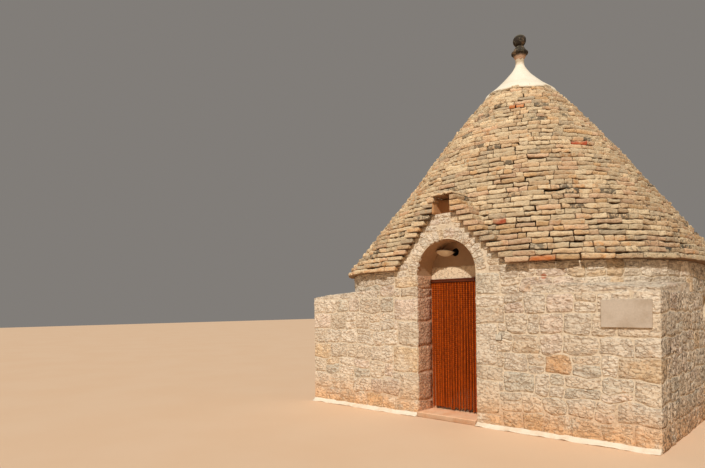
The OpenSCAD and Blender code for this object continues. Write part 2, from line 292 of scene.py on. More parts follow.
@dataclass(frozen=True)
class Outline:
    """A line on the ground plan, measured along its length, with the outside on its right."""

    points: Array
    normals: Array
    lengths: Array
    corners: tuple[float, ...]

    @classmethod
    def through(cls, stops: Sequence[Triple], closed: bool = False) -> "Outline":
        """Joins stops by straight lines, with an arc at each stop that is tangent to both lines.

        Args:
            stops: x, y and arc radius of each stop.
            closed: Whether the line returns to its first stop, which then lies on a straight.

        Returns:
            The outline.
        """
        plan = list(stops) + ([stops[0]] if closed else [])
        points = [np.array(plan[0][:2])]
        normals = [cls._outward(plan[0], plan[1])]
        middles = []
        for before, here, after in zip(plan, plan[1:], plan[2:]):
            first, second = cls._outward(before, here), cls._outward(here, after)
            turn = math.acos(float(np.clip(first @ second, -1, 1)))
            side = 1 if first[0] * second[1] - first[1] * second[0] > 0 else -1
            radius = here[2]
            back = np.array([first[1], -first[0]]) * radius * math.tan(turn / 2)
            centre = np.array(here[:2]) + back - side * first * radius
            steps = max(4, int(math.ceil(turn * radius / 0.03)))
            start = math.atan2(first[1], first[0])
            middles.append(len(points) + steps // 2)
            for k in range(steps + 1):
                angle = start + side * turn * k / steps
                normal = np.array([math.cos(angle), math.sin(angle)])
                points.append(centre + side * radius * normal)
                normals.append(normal)
        points.append(np.array(plan[-1][:2]))
        normals.append(cls._outward(plan[-2], plan[-1]))
        line = np.array(points)
        lengths = np.concatenate([[0], np.cumsum(np.linalg.norm(np.diff(line, axis=0), axis=1))])
        return cls(line, np.array(normals), lengths, tuple(float(lengths[k]) for k in middles))

    @staticmethod
    def _outward(start: Sequence[float], end: Sequence[float]) -> Array:
        """Gives the unit normal on the right of the way from start to end.

        Args:
            start: x and y of the start.
            end: x and y of the end.

        Returns:
            The normal.
        """
        way = np.array([end[0] - start[0], end[1] - start[1]])
        way = way / np.linalg.norm(way)
        return np.array([way[1], -way[0]])

    @property
    def length(self) -> float:
        """Length of the whole line."""
        return float(self.lengths[-1])

    def place(self, along: Array, out: Array, height: Array) -> Array:
        """Turns measures along and out of the line into points.

        Args:
            along: Distance along the line.
            out: Distance out of it.
            height: Height above the ground.

        Returns:
            Points, with x, y and z along the last axis.
        """
        along, out, height = np.broadcast_arrays(along, out, height)
        closed = np.allclose(self.points[0], self.points[-1])
        along = along % self.lengths[-1] if closed else along
        point = [np.interp(along, self.lengths, self.points[:, k]) for k in (0, 1)]
        normal = [np.interp(along, self.lengths, self.normals[:, k]) for k in (0, 1)]
        size = np.hypot(*normal)
        return np.stack([point[k] + out * normal[k] / size for k in (0, 1)] + [height], -1)


# Shader maths


class Sock:
    """A socket of a shader that can be used in sums: each operation adds a Math node."""

    def __init__(self, tree: bpy.types.NodeTree, socket: bpy.types.NodeSocket) -> None:
        """Keeps the tree and the socket."""
        self.tree = tree
        self.socket = socket

    def _math(self, operation: str, *values: "Sock | float") -> "Sock":
        """Adds a Math node over the given values.

        Args:
            operation: What the node does.
            *values: Its inputs.

        Returns:
            Its result.
        """
        node = self.tree.nodes.new("ShaderNodeMath")
        node.operation = operation
        for slot, value in zip(node.inputs, values):
            if isinstance(value, Sock):
                self.tree.links.new(value.socket, slot)
            else:
                slot.default_value = float(value)
        return Sock(self.tree, node.outputs[0])

    def __add__(self, other: "Sock | float") -> "Sock":
        """Adds."""
        return self._math("ADD", self, other)

    __radd__ = __add__

    def __sub__(self, other: "Sock | float") -> "Sock":
        """Subtracts."""
        return self._math("SUBTRACT", self, other)

    def __rsub__(self, other: "Sock | float") -> "Sock":
        """Subtracts from a number."""
        return self._math("SUBTRACT", other, self)

    def __mul__(self, other: "Sock | float") -> "Sock":
        """Multiplies."""
        return self._math("MULTIPLY", self, other)

    __rmul__ = __mul__

    def __truediv__(self, other: "Sock | float") -> "Sock":
        """Divides."""
        return self._math("DIVIDE", self, other)

    def __pow__(self, other: "Sock | float") -> "Sock":
        """Raises to a power."""
        return self._math("POWER", self, other)

    def most(self, other: "Sock | float") -> "Sock":
        """Takes the larger of two values."""
        return self._math("MAXIMUM", self, other)

    def above(self, other: "Sock | float") -> "Sock":
        """Gives 1 where this is greater, and 0 elsewhere."""
        return self._math("GREATER_THAN", self, other)

    def size(self) -> "Sock":
        """Drops the sign."""
        return self._math("ABSOLUTE", self)

    def part(self) -> "Sock":
        """Keeps what follows the decimal point."""
        return self._math("FRACT", self)

    def ramp(self, low: float, high: float, first: float = 0.0, last: float = 1.0) -> "Sock":
        """Maps low to high on to first to last by a smooth step, and keeps to those ends.

        Args:
            low: Value that gives first.
            high: Value that gives last.
            first: Result at low.
            last: Result at high.

        Returns:
            The result.
        """
        node = self.tree.nodes.new("ShaderNodeMapRange")
        node.interpolation_type = "SMOOTHSTEP"
        self.tree.links.new(self.socket, node.inputs["Value"])
        for name, value in zip(("From Min", "From Max", "To Min", "To Max"), (low, high, first, last)):
            node.inputs[name].default_value = value
        return Sock(self.tree, node.outputs["Result"])


class Shader:
    """One material under work, whose colour is painted over coat by coat."""

    def __init__(self, name: str, colour: Colour | None = None) -> None:
        """Makes a material that holds only its output and its main shader.

        Args:
            name: Name of the material.
            colour: Colour under all coats.
        """
        self.colour: Sock | Colour | None = colour
        self.material = bpy.data.materials.new(name)
        self.material.use_nodes = True
        self.tree = self.material.node_tree
        self.tree.nodes.clear()
        output = self.tree.nodes.new("ShaderNodeOutputMaterial")
        self.surface = self.tree.nodes.new("ShaderNodeBsdfPrincipled")
        self.tree.links.new(self.surface.outputs[0], output.inputs["Surface"])

    def node(self, kind: str, settings: dict, inputs: dict) -> bpy.types.Node:
        """Adds a node.

        Args:
            kind: Blender's type of node.
            settings: Properties, set before the sockets. Ramp stops are the key "stops".
            inputs: Links or values by the name or number of the socket.

        Returns:
            The node.
        """
        node = self.tree.nodes.new(kind)
        for key, value in settings.items():
            if key == "stops":
                while len(node.color_ramp.elements) < len(value):
                    node.color_ramp.elements.new(0.5)
                for element, (place, colour) in zip(node.color_ramp.elements, value):
                    element.position = place
                    element.color = (*colour, 1.0)
            else:
                setattr(node, key, value)
        for key, value in inputs.items():
            self._fill(node.inputs[key], value)
        return node

    def _fill(self, slot: bpy.types.NodeSocket, value: object) -> None:
        """Fills an input socket.

        Args:
            slot: The input.
            value: The output to link to it, or the constant that it holds.
        """
        if isinstance(value, Sock):
            self.tree.links.new(value.socket, slot)
        elif isinstance(value, tuple) and slot.type == "RGBA":
            slot.default_value = (*value, 1.0)
        else:
            slot.default_value = value

    def sock(self, node: bpy.types.Node, output: str | int = 0) -> Sock:
        """Wraps one output of a node."""
        return Sock(self.tree, node.outputs[output])

    def place(self) -> Sock:
        """Gives the point in the object's own coordinates, which are the house's."""
        return self.sock(self.node("ShaderNodeTexCoord", {}, {}), "Object")

    def axes(self) -> tuple[Sock, Sock, Sock]:
        """Gives x, y and z of the point."""
        split = self.node("ShaderNodeSeparateXYZ", {}, {"Vector": self.place()})
        return self.sock(split, 0), self.sock(split, 1), self.sock(split, 2)

    def mark(self, name: str) -> Sock:
        """Reads one mark of the mesh."""
        return self.sock(self.node("ShaderNodeAttribute", {"attribute_name": name}, {}), "Fac")

    def facing_up(self) -> Sock:
        """Gives how far the surface faces upwards, from -1 to 1."""
        normal = self.sock(self.node("ShaderNodeNewGeometry", {}, {}), "Normal")
        return self.sock(self.node("ShaderNodeSeparateXYZ", {}, {"Vector": normal}), 2)

    def stretched(self, scale: Triple) -> Sock:
        """Gives the point scaled by different amounts along the axes."""
        return self.sock(self.node("ShaderNodeMapping", {}, {"Vector": self.place(), "Scale": scale}))

    def noise(
        self,
        scale: float,
        detail: float = 3.0,
        roughness: float = 0.5,
        twist: float = 0.0,
        at: Sock | None = None,
    ) -> Sock:
        """Adds smooth noise.

        Args:
            scale: Number of bumps in a metre.
            detail: Number of finer layers.
            roughness: Strength of each finer layer against the last.
            twist: Distortion of the pattern.
            at: Point to read it at, which is the object's own point where none is given.

        Returns:
            Values from about 0 to 1.
        """
        inputs = {"Vector": at or self.place(), "Scale": scale, "Detail": detail}
        inputs |= {"Roughness": roughness, "Distortion": twist}
        return self.sock(self.node("ShaderNodeTexNoise", {}, inputs))

    def cells(self, scale: float, feature: str = "F1", at: Sock | None = None) -> Sock:
        """Adds distances to scattered points, or to the borders between their cells."""
        inputs = {"Vector": at or self.place(), "Scale": scale}
        return self.sock(self.node("ShaderNodeTexVoronoi", {"feature": feature}, inputs), "Distance")

    def blend(self, share: Sock | float, low: Sock | Colour, high: Sock | Colour) -> Sock:
        """Mixes two colours by a share of the second."""
        return self.sock(self.node("ShaderNodeMix", {"data_type": "RGBA"}, {0: share, 6: low, 7: high}), 2)

    def colours(self, value: Sock, stops: Sequence[tuple[float, Colour]], steps: bool = False) -> Sock:
        """Turns a value into a colour by a ramp.

        Args:
            value: Value from 0 to 1.
            stops: Places and colours of the ramp.
            steps: Whether each colour holds up to the next stop.

        Returns:
            The colour.
        """
        node = self.node("ShaderNodeValToRGB", {"stops": stops}, {0: value})
        node.color_ramp.interpolation = "CONSTANT" if steps else "LINEAR"
        return self.sock(node)

    def paint(self, share: Sock | float, colour: Sock | Colour) -> None:
        """Covers the material's colour by a share with another."""
        self.colour = self.blend(share, self.colour, colour)

    def dim(self, value: Sock) -> None:
        """Multiplies the material's colour by a value.

        Args:
            value: Factor for all three channels.
        """
        grey = self.sock(self.node("ShaderNodeCombineXYZ", {}, {0: value, 1: value, 2: value}))
        inputs = {0: self.colour, 1: grey}
        self.colour = self.sock(self.node("ShaderNodeVectorMath", {"operation": "MULTIPLY"}, inputs))

    def finish(
        self,
        roughness: Sock | float,
        height: Sock | None = None,
        depth: float = 0.004,
        **constants: float,
    ) -> Material:
        """Links what varies to the main shader and sets what doesn't.

        Args:
            roughness: Roughness.
            height: Height of the fine relief, from 0 to 1.
            depth: What a height of 1 measures, in metres.
            **constants: Other sockets of the main shader, with words joined by underscores.

        Returns:
            The material.
        """
        wanted = {"base_color": self.colour, "roughness": roughness, **constants}
        if height is not None:
            bump = self.node("ShaderNodeBump", {}, {"Height": height, "Distance": depth})
            wanted["normal"] = self.sock(bump)
        for name, value in wanted.items():
            self._fill(self.surface.inputs[name.replace("_", " ").title().replace("Ior", "IOR")], value)
        return self.material


def tint(red: int, green: int, blue: int) -> Colour:
    """Turns a colour as a screen shows it, from 0 to 255, into light values."""
    parts = (channel / 255 for channel in (red, green, blue))
    return tuple(p / 12.92 if p <= 0.04045 else ((p + 0.055) / 1.055) ** 2.4 for p in parts)


# Finishes


class Kind(Enum):
    """What a stone is like, and where its share of the hue marks starts."""

    CREAM = 0.0
    TAN = 0.46
    PINK = 0.68
    GREY = 0.81
    OCHRE = 0.91
    ORANGE = 0.965
    RED = 0.985

    @property
    def mark(self) -> float:
        """Hue mark of a stone of this kind."""
        return self.value + 0.006


def by_kind(work: Shader, finish: "HewnStone | SlabStone") -> Sock:
    """Gives each stone the finish's colour for its kind, by its hue mark."""
    stops = [(kind.value, getattr(finish, kind.name.lower())) for kind in Kind]
    return work.colours(work.mark("hue"), stops, steps=True)


@dataclass(frozen=True)
class HewnStone:
    """Hammered limestone blocks, creased all over, whose edges are smeared with pale pointing."""

    name: str = "hewn_stone"
    cream: Colour = tint(228, 211, 186)
    tan: Colour = tint(219, 199, 171)
    pink: Colour = tint(222, 199, 176)
    grey: Colour = tint(208, 196, 173)
    ochre: Colour = tint(220, 190, 150)
    orange: Colour = tint(220, 176, 130)
    red: Colour = tint(196, 124, 90)
    pointing: Colour = tint(228, 210, 183)
    soil: Colour = tint(222, 170, 118)
    # colour of the painted shade in creases and pits
    crease_shade: Colour = tint(138, 106, 76)
    shadow: Colour = tint(104, 84, 62)
    # warm brown painted on the jambs as their shade and the light thrown up into them
    warm: Colour = tint(206, 154, 116)
    soiled: float = 0.85
    flank: float = House.half_w + 0.002
    red_dot: Pair = (1.413, 1.979)
    jamb_y: Pair = (-2.425, -1.84)
    jamb_half: float = 0.51

    def material(self) -> Material:
        """Builds the finish: hue by mark, clouds, painted shade in creases and pits, painted highlights on
        knobs, painted shade on the right wall and the jambs, and washed edges.

        Returns:
            The material.
        """
        work = Shader(self.name)
        x, y, z = work.axes()
        tone, edge, rise = (work.mark(m) for m in ("tone", "edge", "rise"))
        work.colour = by_kind(work, self)
        work.paint(work.noise(2.7, 4.0, 0.6).ramp(0.40, 0.68, 0.0, 0.7), self.cream)
        work.paint(work.noise(7.0, 4.0, 0.6, 0.3).ramp(0.48, 0.74, 0.0, 0.6), self.tan)
        rust = work.noise(3.6, 3.0, 0.55).ramp(0.56, 0.72, 0.0, 0.5)
        rust = rust * work.noise(26.0, 3.0, 0.6).ramp(0.4, 0.6)
        work.paint(rust, self.orange)
        wet = z.ramp(0.02, 0.60, 1.0, 0.0) * work.noise(5.0, 4.0, 0.6).ramp(0.25, 0.55)
        work.paint(wet * self.soiled, self.soil)
        # painted shade and bounce light: the jambs are tinted warm brown
        work.paint(self.deep(work) * 0.75, self.warm)
        specks = work.noise(40.0, 5.0, 0.72, 0.3).ramp(0.36, 0.64, -0.42, 0.30)
        work.dim(self.deep(work) * specks + 1.0)
        flat = work.stretched((1.0, 1.0, 1.7))
        first, facets = work.noise(7.0, 2.5, 0.55, 0.7, flat), work.cells(17.0, at=flat)
        cuts = (first - 0.5).size().ramp(0.0, 0.036, 1.0, 0.0) * work.noise(6.0, 2.0).ramp(0.44, 0.55)
        nicks = facets.ramp(0.50, 0.66) * work.noise(8.5, 2.0).ramp(0.42, 0.54)
        knobs = work.noise(24.0, 4.0, 0.66, 0.2)
        # creases: cut lines, nicks and hollows between knobs, which also dent the relief
        creases = cuts.most(nicks).most(knobs.ramp(0.43, 0.32, 0.0, 0.8))
        lit = knobs.ramp(0.56, 0.68, 0.0, 0.5)
        grit = work.noise(85.0, 4.0, 0.65)
        pits = work.cells(34.0).ramp(0.03, 0.15, 1.0, 0.0) * work.noise(6.0, 2.0).ramp(0.52, 0.66)
        gate = work.noise(3.3, 3.0, 0.6).ramp(0.40, 0.62, 0.25, 1.0)
        smear = (edge + (work.noise(14.0, 4.0, 0.6) - 0.5) * 1.9).ramp(0.70, 1.05) * gate
        worn = (1.0 - smear * 0.6) * rise.ramp(0.0, 1.0, 1.0, 0.85)
        # painted highlight: the tops of the knobs are lightened with the pointing colour
        work.paint(lit, self.pointing)
        # painted shade: creases and pits are darkened, less where pointing is smeared
        work.paint((creases * 0.40).most(pits * 0.5) * worn, self.crease_shade)
        work.paint(smear * 0.6, self.pointing)
        mottle = work.noise(42.0, 3.0, 0.6).ramp(0.25, 0.75, 0.89, 1.06)
        left = x.ramp(-2.6, 1.5, 1.06, 1.0)
        work.dim(tone.ramp(0.0, 1.0, 0.97, 1.13) * mottle * left)
        away = (x - self.red_dot[0]) ** 2.0 + (z - self.red_dot[1]) ** 2.0
        work.paint(away.ramp(0.0007, 0.0016, 0.9, 0.0) * (1.0 - y.above(-2.3)), self.red)
        side = x.above(self.flank)
        work.paint(side * knobs.ramp(0.50, 0.44, 0.0, 0.8), self.shadow)
        height = (first * 1.1 - facets * 0.5) * worn + knobs * (side * 0.4 + 1.0)
        height = height + grit * 0.2 - creases * 0.3
        return work.finish(grit.ramp(0.2, 0.8, 0.86, 0.98), height, 0.026)

    @classmethod
    def deep(cls, work: Shader) -> Sock:
        """Gives 1 on the jambs, behind the front wall's face beside the doorway.

        Args:
            work: Shader of the finish.

        Returns:
            1 on the jambs, and 0 elsewhere.
        """
        x, y, _ = work.axes()
        behind = y.above(cls.jamb_y[0]) * (1.0 - y.above(cls.jamb_y[1]))
        return behind * (1.0 - x.size().above(cls.jamb_half))


@dataclass(frozen=True)
class Pointing:
    """Pale lime mortar of the walls, with the render that lines the arch."""

    lime: Colour = tint(230, 212, 184)
    sand: Colour = tint(214, 194, 164)
    # brown of the render inside the arch, partly painted shade
    render: Colour = tint(176, 140, 104)
    soil: Colour = tint(208, 158, 112)
    arch_r: float = House.arch_r + 0.007
    spring: float = House.spring
    front: float = 0.004 - House.half_d

    def material(self) -> Material:
        """Builds the finish: mortar with painted shade between its knobs and a painted warm tint on the
        jambs, turning within the arch's radius to render whose brown is partly painted shade.

        Returns:
            The material.
        """
        work = Shader("lime_pointing", self.lime)
        x, y, z = work.axes()
        work.paint(work.noise(9.0, 4.0, 0.6).ramp(0.35, 0.7), self.sand)
        knobs = work.noise(22.0, 4.0, 0.62, 0.5)
        # painted shade in the hollows between knobs
        work.paint(knobs.ramp(0.44, 0.33, 0.0, 0.5), HewnStone.crease_shade)
        wet = z.ramp(0.02, 0.55, 0.8, 0.0) * work.noise(5.0, 4.0, 0.6).ramp(0.25, 0.55)
        work.paint(wet, self.soil)
        # painted shade and bounce light: the jambs' pointing is tinted warm brown
        work.paint(HewnStone.deep(work) * 0.8, HewnStone.warm)
        rise = (z - self.spring).most(0.0)
        inside = (x * x + rise * rise).ramp(self.arch_r**2 * 0.985, self.arch_r**2, 1.0, 0.0)
        inside = inside * y.above(self.front) * z.above(self.spring) * (1.0 - y.above(-1.9))
        # brown render inside the arch; its brown is partly painted shade
        work.paint(inside, self.render)
        work.dim(work.noise(30.0, 4.0, 0.6).ramp(0.25, 0.75, 0.90, 1.05))
        relief = work.noise(24.0, 5.0, 0.6) * (1.0 - inside * 0.85) + work.noise(150.0, 2.0) * 0.15
        return work.finish(0.93, relief, 0.018)


@dataclass(frozen=True)
class SlabStone:
    """Weathered roof slabs with a painted highlight along their upper edges, painted shade under them and
    in hollows, and patches of dark lichen.
    """

    cream: Colour = tint(236, 212, 172)
    tan: Colour = tint(223, 190, 148)
    pink: Colour = tint(225, 187, 149)
    grey: Colour = tint(208, 188, 156)
    ochre: Colour = tint(224, 183, 132)
    orange: Colour = tint(228, 132, 66)
    red: Colour = tint(186, 84, 48)
    rust: Colour = tint(224, 166, 106)
    lichen: Colour = tint(90, 82, 68)
    # colour of the painted shade under and between the slabs
    slab_shade: Colour = tint(122, 86, 54)

    def material(self) -> Material:
        """Builds the finish: hue by mark, lichen by mark and in clusters, a painted highlight on upper
        edges, painted shade on lower edges, undersides and hollows.

        Returns:
            The material.
        """
        work = Shader("roof_slab_stone")
        x, _, z = work.axes()
        tone, edge, rise = (work.mark(m) for m in ("tone", "edge", "rise"))
        work.colour = by_kind(work, self)
        work.paint(work.noise(7.0, 4.0, 0.6).ramp(0.42, 0.72, 0.0, 0.65), self.tan)
        right = x.ramp(0.9, 2.5)
        warm = work.noise(2.2, 3.0, 0.6).ramp(0.44, 0.66)
        warm = warm * work.noise(13.0, 4.0, 0.6).ramp(0.48, 0.64, 0.0, 0.75)
        work.paint(warm, self.rust)
        # painted highlight: the upper edges of the slabs are lightened to cream
        lip = rise.ramp(0.55, 0.97) * work.noise(16.0, 3.0).ramp(0.25, 0.6) * 0.6
        work.paint(lip, self.cream)
        # painted shade on the slabs' lower edges, stronger towards the right
        work.paint(rise.ramp(0.0, 0.30, 0.68, 0.0) * (right * 0.25 + 1.0), self.slab_shade)
        # painted shade on faces that face down
        work.paint(work.facing_up().ramp(-0.35, -0.8, 0.0, 0.55), self.slab_shade)
        relief = work.noise(19.0, 6.0, 0.66, 0.6, work.stretched((1.0, 1.0, 1.6)))
        # painted shade in the hollows of the relief
        work.paint(relief.ramp(0.48, 0.30, 0.0, 0.55), self.slab_shade)
        cloud = work.noise(17.0, 5.0, 0.68, 0.6)
        patch = (work.noise(1.3, 3.0, 0.6) + right * 0.10).ramp(0.56, 0.74) * cloud.ramp(0.54, 0.62)
        growth = edge * cloud.ramp(0.42, 0.54) * (right * 0.2 + 1.0)
        spots = (work.noise(30.0, 4.0, 0.7) + right * 0.05).ramp(0.65, 0.72) * 0.6
        work.paint(patch.most(growth).most(spots) * 0.86, self.lichen)
        mottle = work.noise(52.0, 3.0, 0.6).ramp(0.25, 0.75, 0.86, 1.08)
        light = z.ramp(2.8, 5.2, 1.02, 1.10) * x.ramp(-2.0, 1.6, 1.07, 0.93)
        work.dim(tone.ramp(0.0, 1.0, 0.80, 1.08) * mottle * light)
        height = relief + work.noise(90.0, 3.0, 0.6) * 0.22
        return work.finish(mottle.ramp(0.86, 1.08, 0.84, 0.98), height, 0.026)


@dataclass(frozen=True)
class SmoothStone:
    """Sawn or rubbed limestone, clouded and faintly pitted."""

    name: str = "smooth_stone"
    base: Colour = tint(216, 194, 162)
    cloud: Colour = tint(196, 168, 134)
    dirt: Colour = tint(150, 122, 92)
    relief_m: float = 0.004
    # share of brightness kept on faces that don't face up, as painted shade
    front: float = 1.0

    def material(self) -> Material:
        """Builds the finish: clouds of a second colour, dirt in small pits, and painted shade on faces that
        don't face up.

        Returns:
            The material.
        """
        work = Shader(self.name, self.base)
        work.paint(work.noise(5.0, 4.0, 0.6).ramp(0.35, 0.7), self.cloud)
        pits = work.cells(60.0).ramp(0.03, 0.14, 1.0, 0.0) * work.noise(9.0).ramp(0.5, 0.65)
        work.paint(pits * 0.8, self.dirt)
        # painted shade: faces that don't face up are darkened by the share front
        upper = work.facing_up().ramp(0.3, 0.8, self.front, 1.0)
        work.dim(work.noise(50.0, 3.0).ramp(0.2, 0.8, 0.93, 1.05) * upper)
        relief = work.noise(30.0, 5.0, 0.6) + work.noise(140.0, 2.0) * 0.25 - pits * 0.6
        return work.finish(work.noise(20.0).ramp(0.2, 0.8, 0.7, 0.88), relief, self.relief_m)


@dataclass(frozen=True)
class CorbelStone:
    """Rough courses of the dome behind the roof slabs, painted dark as shade where they show in the gaps,
    with dark joints.
    """

    # painted shade: a dark stone colour for the dome, which shows only in the shaded gaps between slabs
    base: Colour = tint(150, 122, 88)
    dark: Colour = tint(92, 68, 44)
    course: float = House.course
    foot: float = House.wall_h

    def material(self) -> Material:
        """Builds the finish: lines at each course from the height, and rough stones between.

        Returns:
            The material.
        """
        work = Shader("corbel_stone", self.base)
        step = ((work.axes()[2] - self.foot) / self.course + (work.noise(4.0) - 0.5) * 0.2).part()
        joint = (step - 0.5).size().ramp(0.38, 0.48)
        blocks = work.cells(5.0, "DISTANCE_TO_EDGE", work.stretched((1.0, 1.0, 2.6)))
        blocks = blocks.ramp(0.0, 0.05, 1.0, 0.0)
        work.paint(work.noise(6.0, 4.0, 0.6).ramp(0.3, 0.7), self.dark)
        work.paint(joint.most(blocks) * 0.8, self.dark)
        relief = work.noise(18.0, 5.0, 0.6) - joint.most(blocks) * 0.6
        return work.finish(0.95, relief, 0.02)


@dataclass(frozen=True)
class Plaster:
    """Smooth lime plaster or render, uneven, faintly stained and hair-cracked."""

    name: str = "lime_plaster"
    base: Colour = tint(246, 236, 214)
    stain: Colour = tint(226, 204, 166)
    crack: Colour = tint(150, 118, 84)
    neck: Colour = tint(186, 166, 134)
    share: float = 0.5
    cracks: float = 0.3
    neck_z: Pair = (5.81, 5.90)

    def material(self) -> Material:
        """Builds the finish: broad stains, fine cracks along cell borders, trowel waves.

        Returns:
            The material.
        """
        work = Shader(self.name, self.base)
        stains = work.noise(3.5, 5.0, 0.6).ramp(0.45, 0.78, 0.0, self.share)
        work.paint(stains, self.stain)
        line = work.cells(3.0, "DISTANCE_TO_EDGE").ramp(0.0, 0.008, 1.0, 0.0)
        line = line * work.noise(2.0).ramp(0.5, 0.6) * self.cracks
        work.paint(line, self.crack)
        work.dim(work.noise(20.0, 4.0, 0.6).ramp(0.2, 0.8, 0.95, 1.04))
        height = work.axes()[2] + (work.noise(26.0, 3.0) - 0.5) * 0.08
        work.paint(height.ramp(*self.neck_z, 0.0, 0.9), self.neck)
        relief = work.noise(9.0, 4.0, 0.5) + work.noise(70.0, 3.0, 0.6) * 0.25 - line * 0.3
        return work.finish(work.noise(12.0).ramp(0.2, 0.8, 0.78, 0.92), relief, 0.006)


@dataclass(frozen=True)
class ArchRender:
    """Render in the arch and the niche: brown as painted shade, with painted bounce light in the niche,
    over a paler and rougher foot where the sun falls.
    """

    # brown painted as the shade over the upper tympanum, the lintel and the niche
    brown: Colour = tint(166, 134, 102)
    # darker painted shade, in clouds and in the hollows of the pale foot
    deeper_shade: Colour = tint(150, 116, 82)
    pale: Colour = tint(232, 208, 174)
    # near black painted as the shade inside the vent hole
    hole_shade: Colour = tint(46, 32, 26)
    # lighter ochre painted in the niche as the light thrown into it
    ochre: Colour = tint(196, 148, 100)
    foot_top: float = 2.20
    hole_y: Pair = (-2.045, -1.86)
    hole_z: float = 2.33
    niche_z: float = 2.85

    def material(self) -> Material:
        """Builds the finish: painted shade brown above a height, pale and cracked below it with painted
        shade in its hollows, painted shade in the vent hole, painted bounce light in the niche.

        Returns:
            The material.
        """
        work = Shader("arch_render", self.brown)
        _, y, z = work.axes()
        wavy = z + (work.noise(9.0, 3.0) - 0.5) * 0.06
        foot = wavy.ramp(self.foot_top - 0.01, self.foot_top + 0.02, 1.0, 0.0)
        knobs = work.noise(30.0, 4.0, 0.62, 0.5)
        line = (work.noise(6.0, 2.0, 0.5, 1.3) - 0.5).size().ramp(0.0, 0.02, 1.0, 0.0)
        rough_share = (line * 0.5).most(knobs.ramp(0.44, 0.34, 0.0, 0.5))
        # painted shade: the upper part is brown with darker clouds; the pale foot below foot_top has cracks
        # and painted shade between its knobs
        pale = work.blend(rough_share, self.pale, self.deeper_shade)
        work.paint(work.noise(3.5, 5.0, 0.6).ramp(0.38, 0.70, 0.0, 0.8), self.deeper_shade)
        work.paint(foot, pale)
        inside = y.above(self.hole_y[0]) * (1.0 - y.above(self.hole_y[1])) * z.above(self.hole_z)
        # painted shade: the inside of the vent hole is darkened to near black
        work.paint(inside, self.hole_shade)
        # painted bounce light: the niche is lightened to ochre
        work.paint(z.above(self.niche_z), self.ochre)
        relief = knobs * (foot * 0.9 + 0.12) - line * foot * 0.3
        return work.finish(knobs.ramp(0.2, 0.8, 0.84, 0.96), relief, 0.016)


@dataclass(frozen=True)
class LichenStone:
    """Old stone of the pinnacle, almost covered by dark lichen."""

    stone: Colour = tint(120, 98, 74)
    cup: Colour = tint(206, 168, 138)
    lichen: Colour = tint(46, 38, 28)
    crust: Colour = tint(138, 130, 104)
    bare: Pair = (5.935, 6.030)

    def material(self) -> Material:
        """Builds the finish: dark lichen over stone but for the funnel, with small pale crusts.

        Returns:
            The material.
        """
        work = Shader("lichened_stone", self.stone)
        cover = work.noise(9.0, 5.0, 0.65, 0.4).ramp(0.34, 0.48)
        _, _, z = work.axes()
        funnel = z + (work.noise(20.0, 3.0) - 0.5) * 0.03
        low = funnel.ramp(self.bare[0] + 0.03, self.bare[1] - 0.012, 1.0, 0.25)
        low = low * (1.0 - z.above(self.bare[1]))
        work.paint(low, self.cup)
        cover = cover * funnel.ramp(self.bare[0] + 0.03, self.bare[1] - 0.010, 0.15, 1.0)
        work.paint(cover, self.lichen)
        spots = work.noise(30.0, 4.0, 0.7).ramp(0.56, 0.64)
        work.paint(spots * 0.7, self.crust)
        up = work.facing_up().ramp(0.35, 0.95) * work.noise(14.0, 3.0).ramp(0.3, 0.6)
        work.paint(up * 0.6, self.crust)
        relief = work.noise(28.0, 5.0, 0.65) + spots * 0.3
        return work.finish(0.94, relief, 0.012)


@dataclass(frozen=True)
class StainedWood:
    """Planed wood with a red-brown stain, its grain along one axis."""

    name: str = "stained_wood"
    light: Colour = tint(104, 42, 8)
    dark: Colour = tint(62, 24, 4)
    grain: Triple = (1.5, 30.0, 30.0)

    def material(self) -> Material:
        """Builds the finish: noise stretched along the grain, under a thin satin coat.

        Returns:
            The material.
        """
        work = Shader(self.name, self.light)
        lines = work.noise(1.6, 5.0, 0.6, 0.3, work.stretched(self.grain))
        fine = work.noise(6.0, 3.0, 0.5, 0.0, work.stretched(self.grain))
        work.paint(lines.ramp(0.35, 0.65), self.dark)
        work.dim(fine.ramp(0.2, 0.8, 0.85, 1.1))
        gloss = fine.ramp(0.2, 0.8, 0.42, 0.6)
        return work.finish(gloss, lines + fine * 0.4, 0.0015, specular_ior_level=0.3)


@dataclass(frozen=True)
class BeadVarnish:
    """Varnished beads: the strand's tone sets amber against dark red-brown."""

    amber: Colour = tint(186, 84, 8)
    copper: Colour = tint(164, 66, 4)
    dark: Colour = tint(112, 38, 2)

    def material(self) -> Material:
        """Builds the finish: colour by strand, streaks along it, a gloss on each bead.

        Returns:
            The material.
        """
        work = Shader("bead_varnish")
        hue, tone = work.mark("hue"), work.mark("tone")
        work.colour = work.colours(hue, [(0.0, self.amber), (0.55, self.copper), (0.95, self.dark)])
        streak = work.noise(3.0, 4.0, 0.6, 0.0, work.stretched((30.0, 30.0, 0.6)))
        work.paint(streak.ramp(0.45, 0.75, 0.0, 0.35), self.dark)
        work.dim(tone.ramp(0.0, 1.0, 0.8, 1.15))
        relief = work.noise(160.0, 3.0, 0.6)
        return work.finish(streak.ramp(0.2, 0.8, 0.5, 0.64), relief, 0.0008, specular_ior_level=0.12)


@dataclass(frozen=True)
class ClearGlass:
    """Thin window glass, faintly dusty."""

    shade_of: Colour = (0.10, 0.13, 0.14)

    def material(self) -> Material:
        """Builds the finish: a dark, glossy, half see-through pane with dust near its edges.

        Returns:
            The material.
        """
        work = Shader("window_glass", self.shade_of)
        dust = work.noise(12.0, 4.0, 0.6)
        work.paint(dust.ramp(0.5, 0.8, 0.0, 0.3), tint(190, 178, 160))
        return work.finish(dust.ramp(0.3, 0.8, 0.04, 0.16), alpha=0.72, ior=1.5)


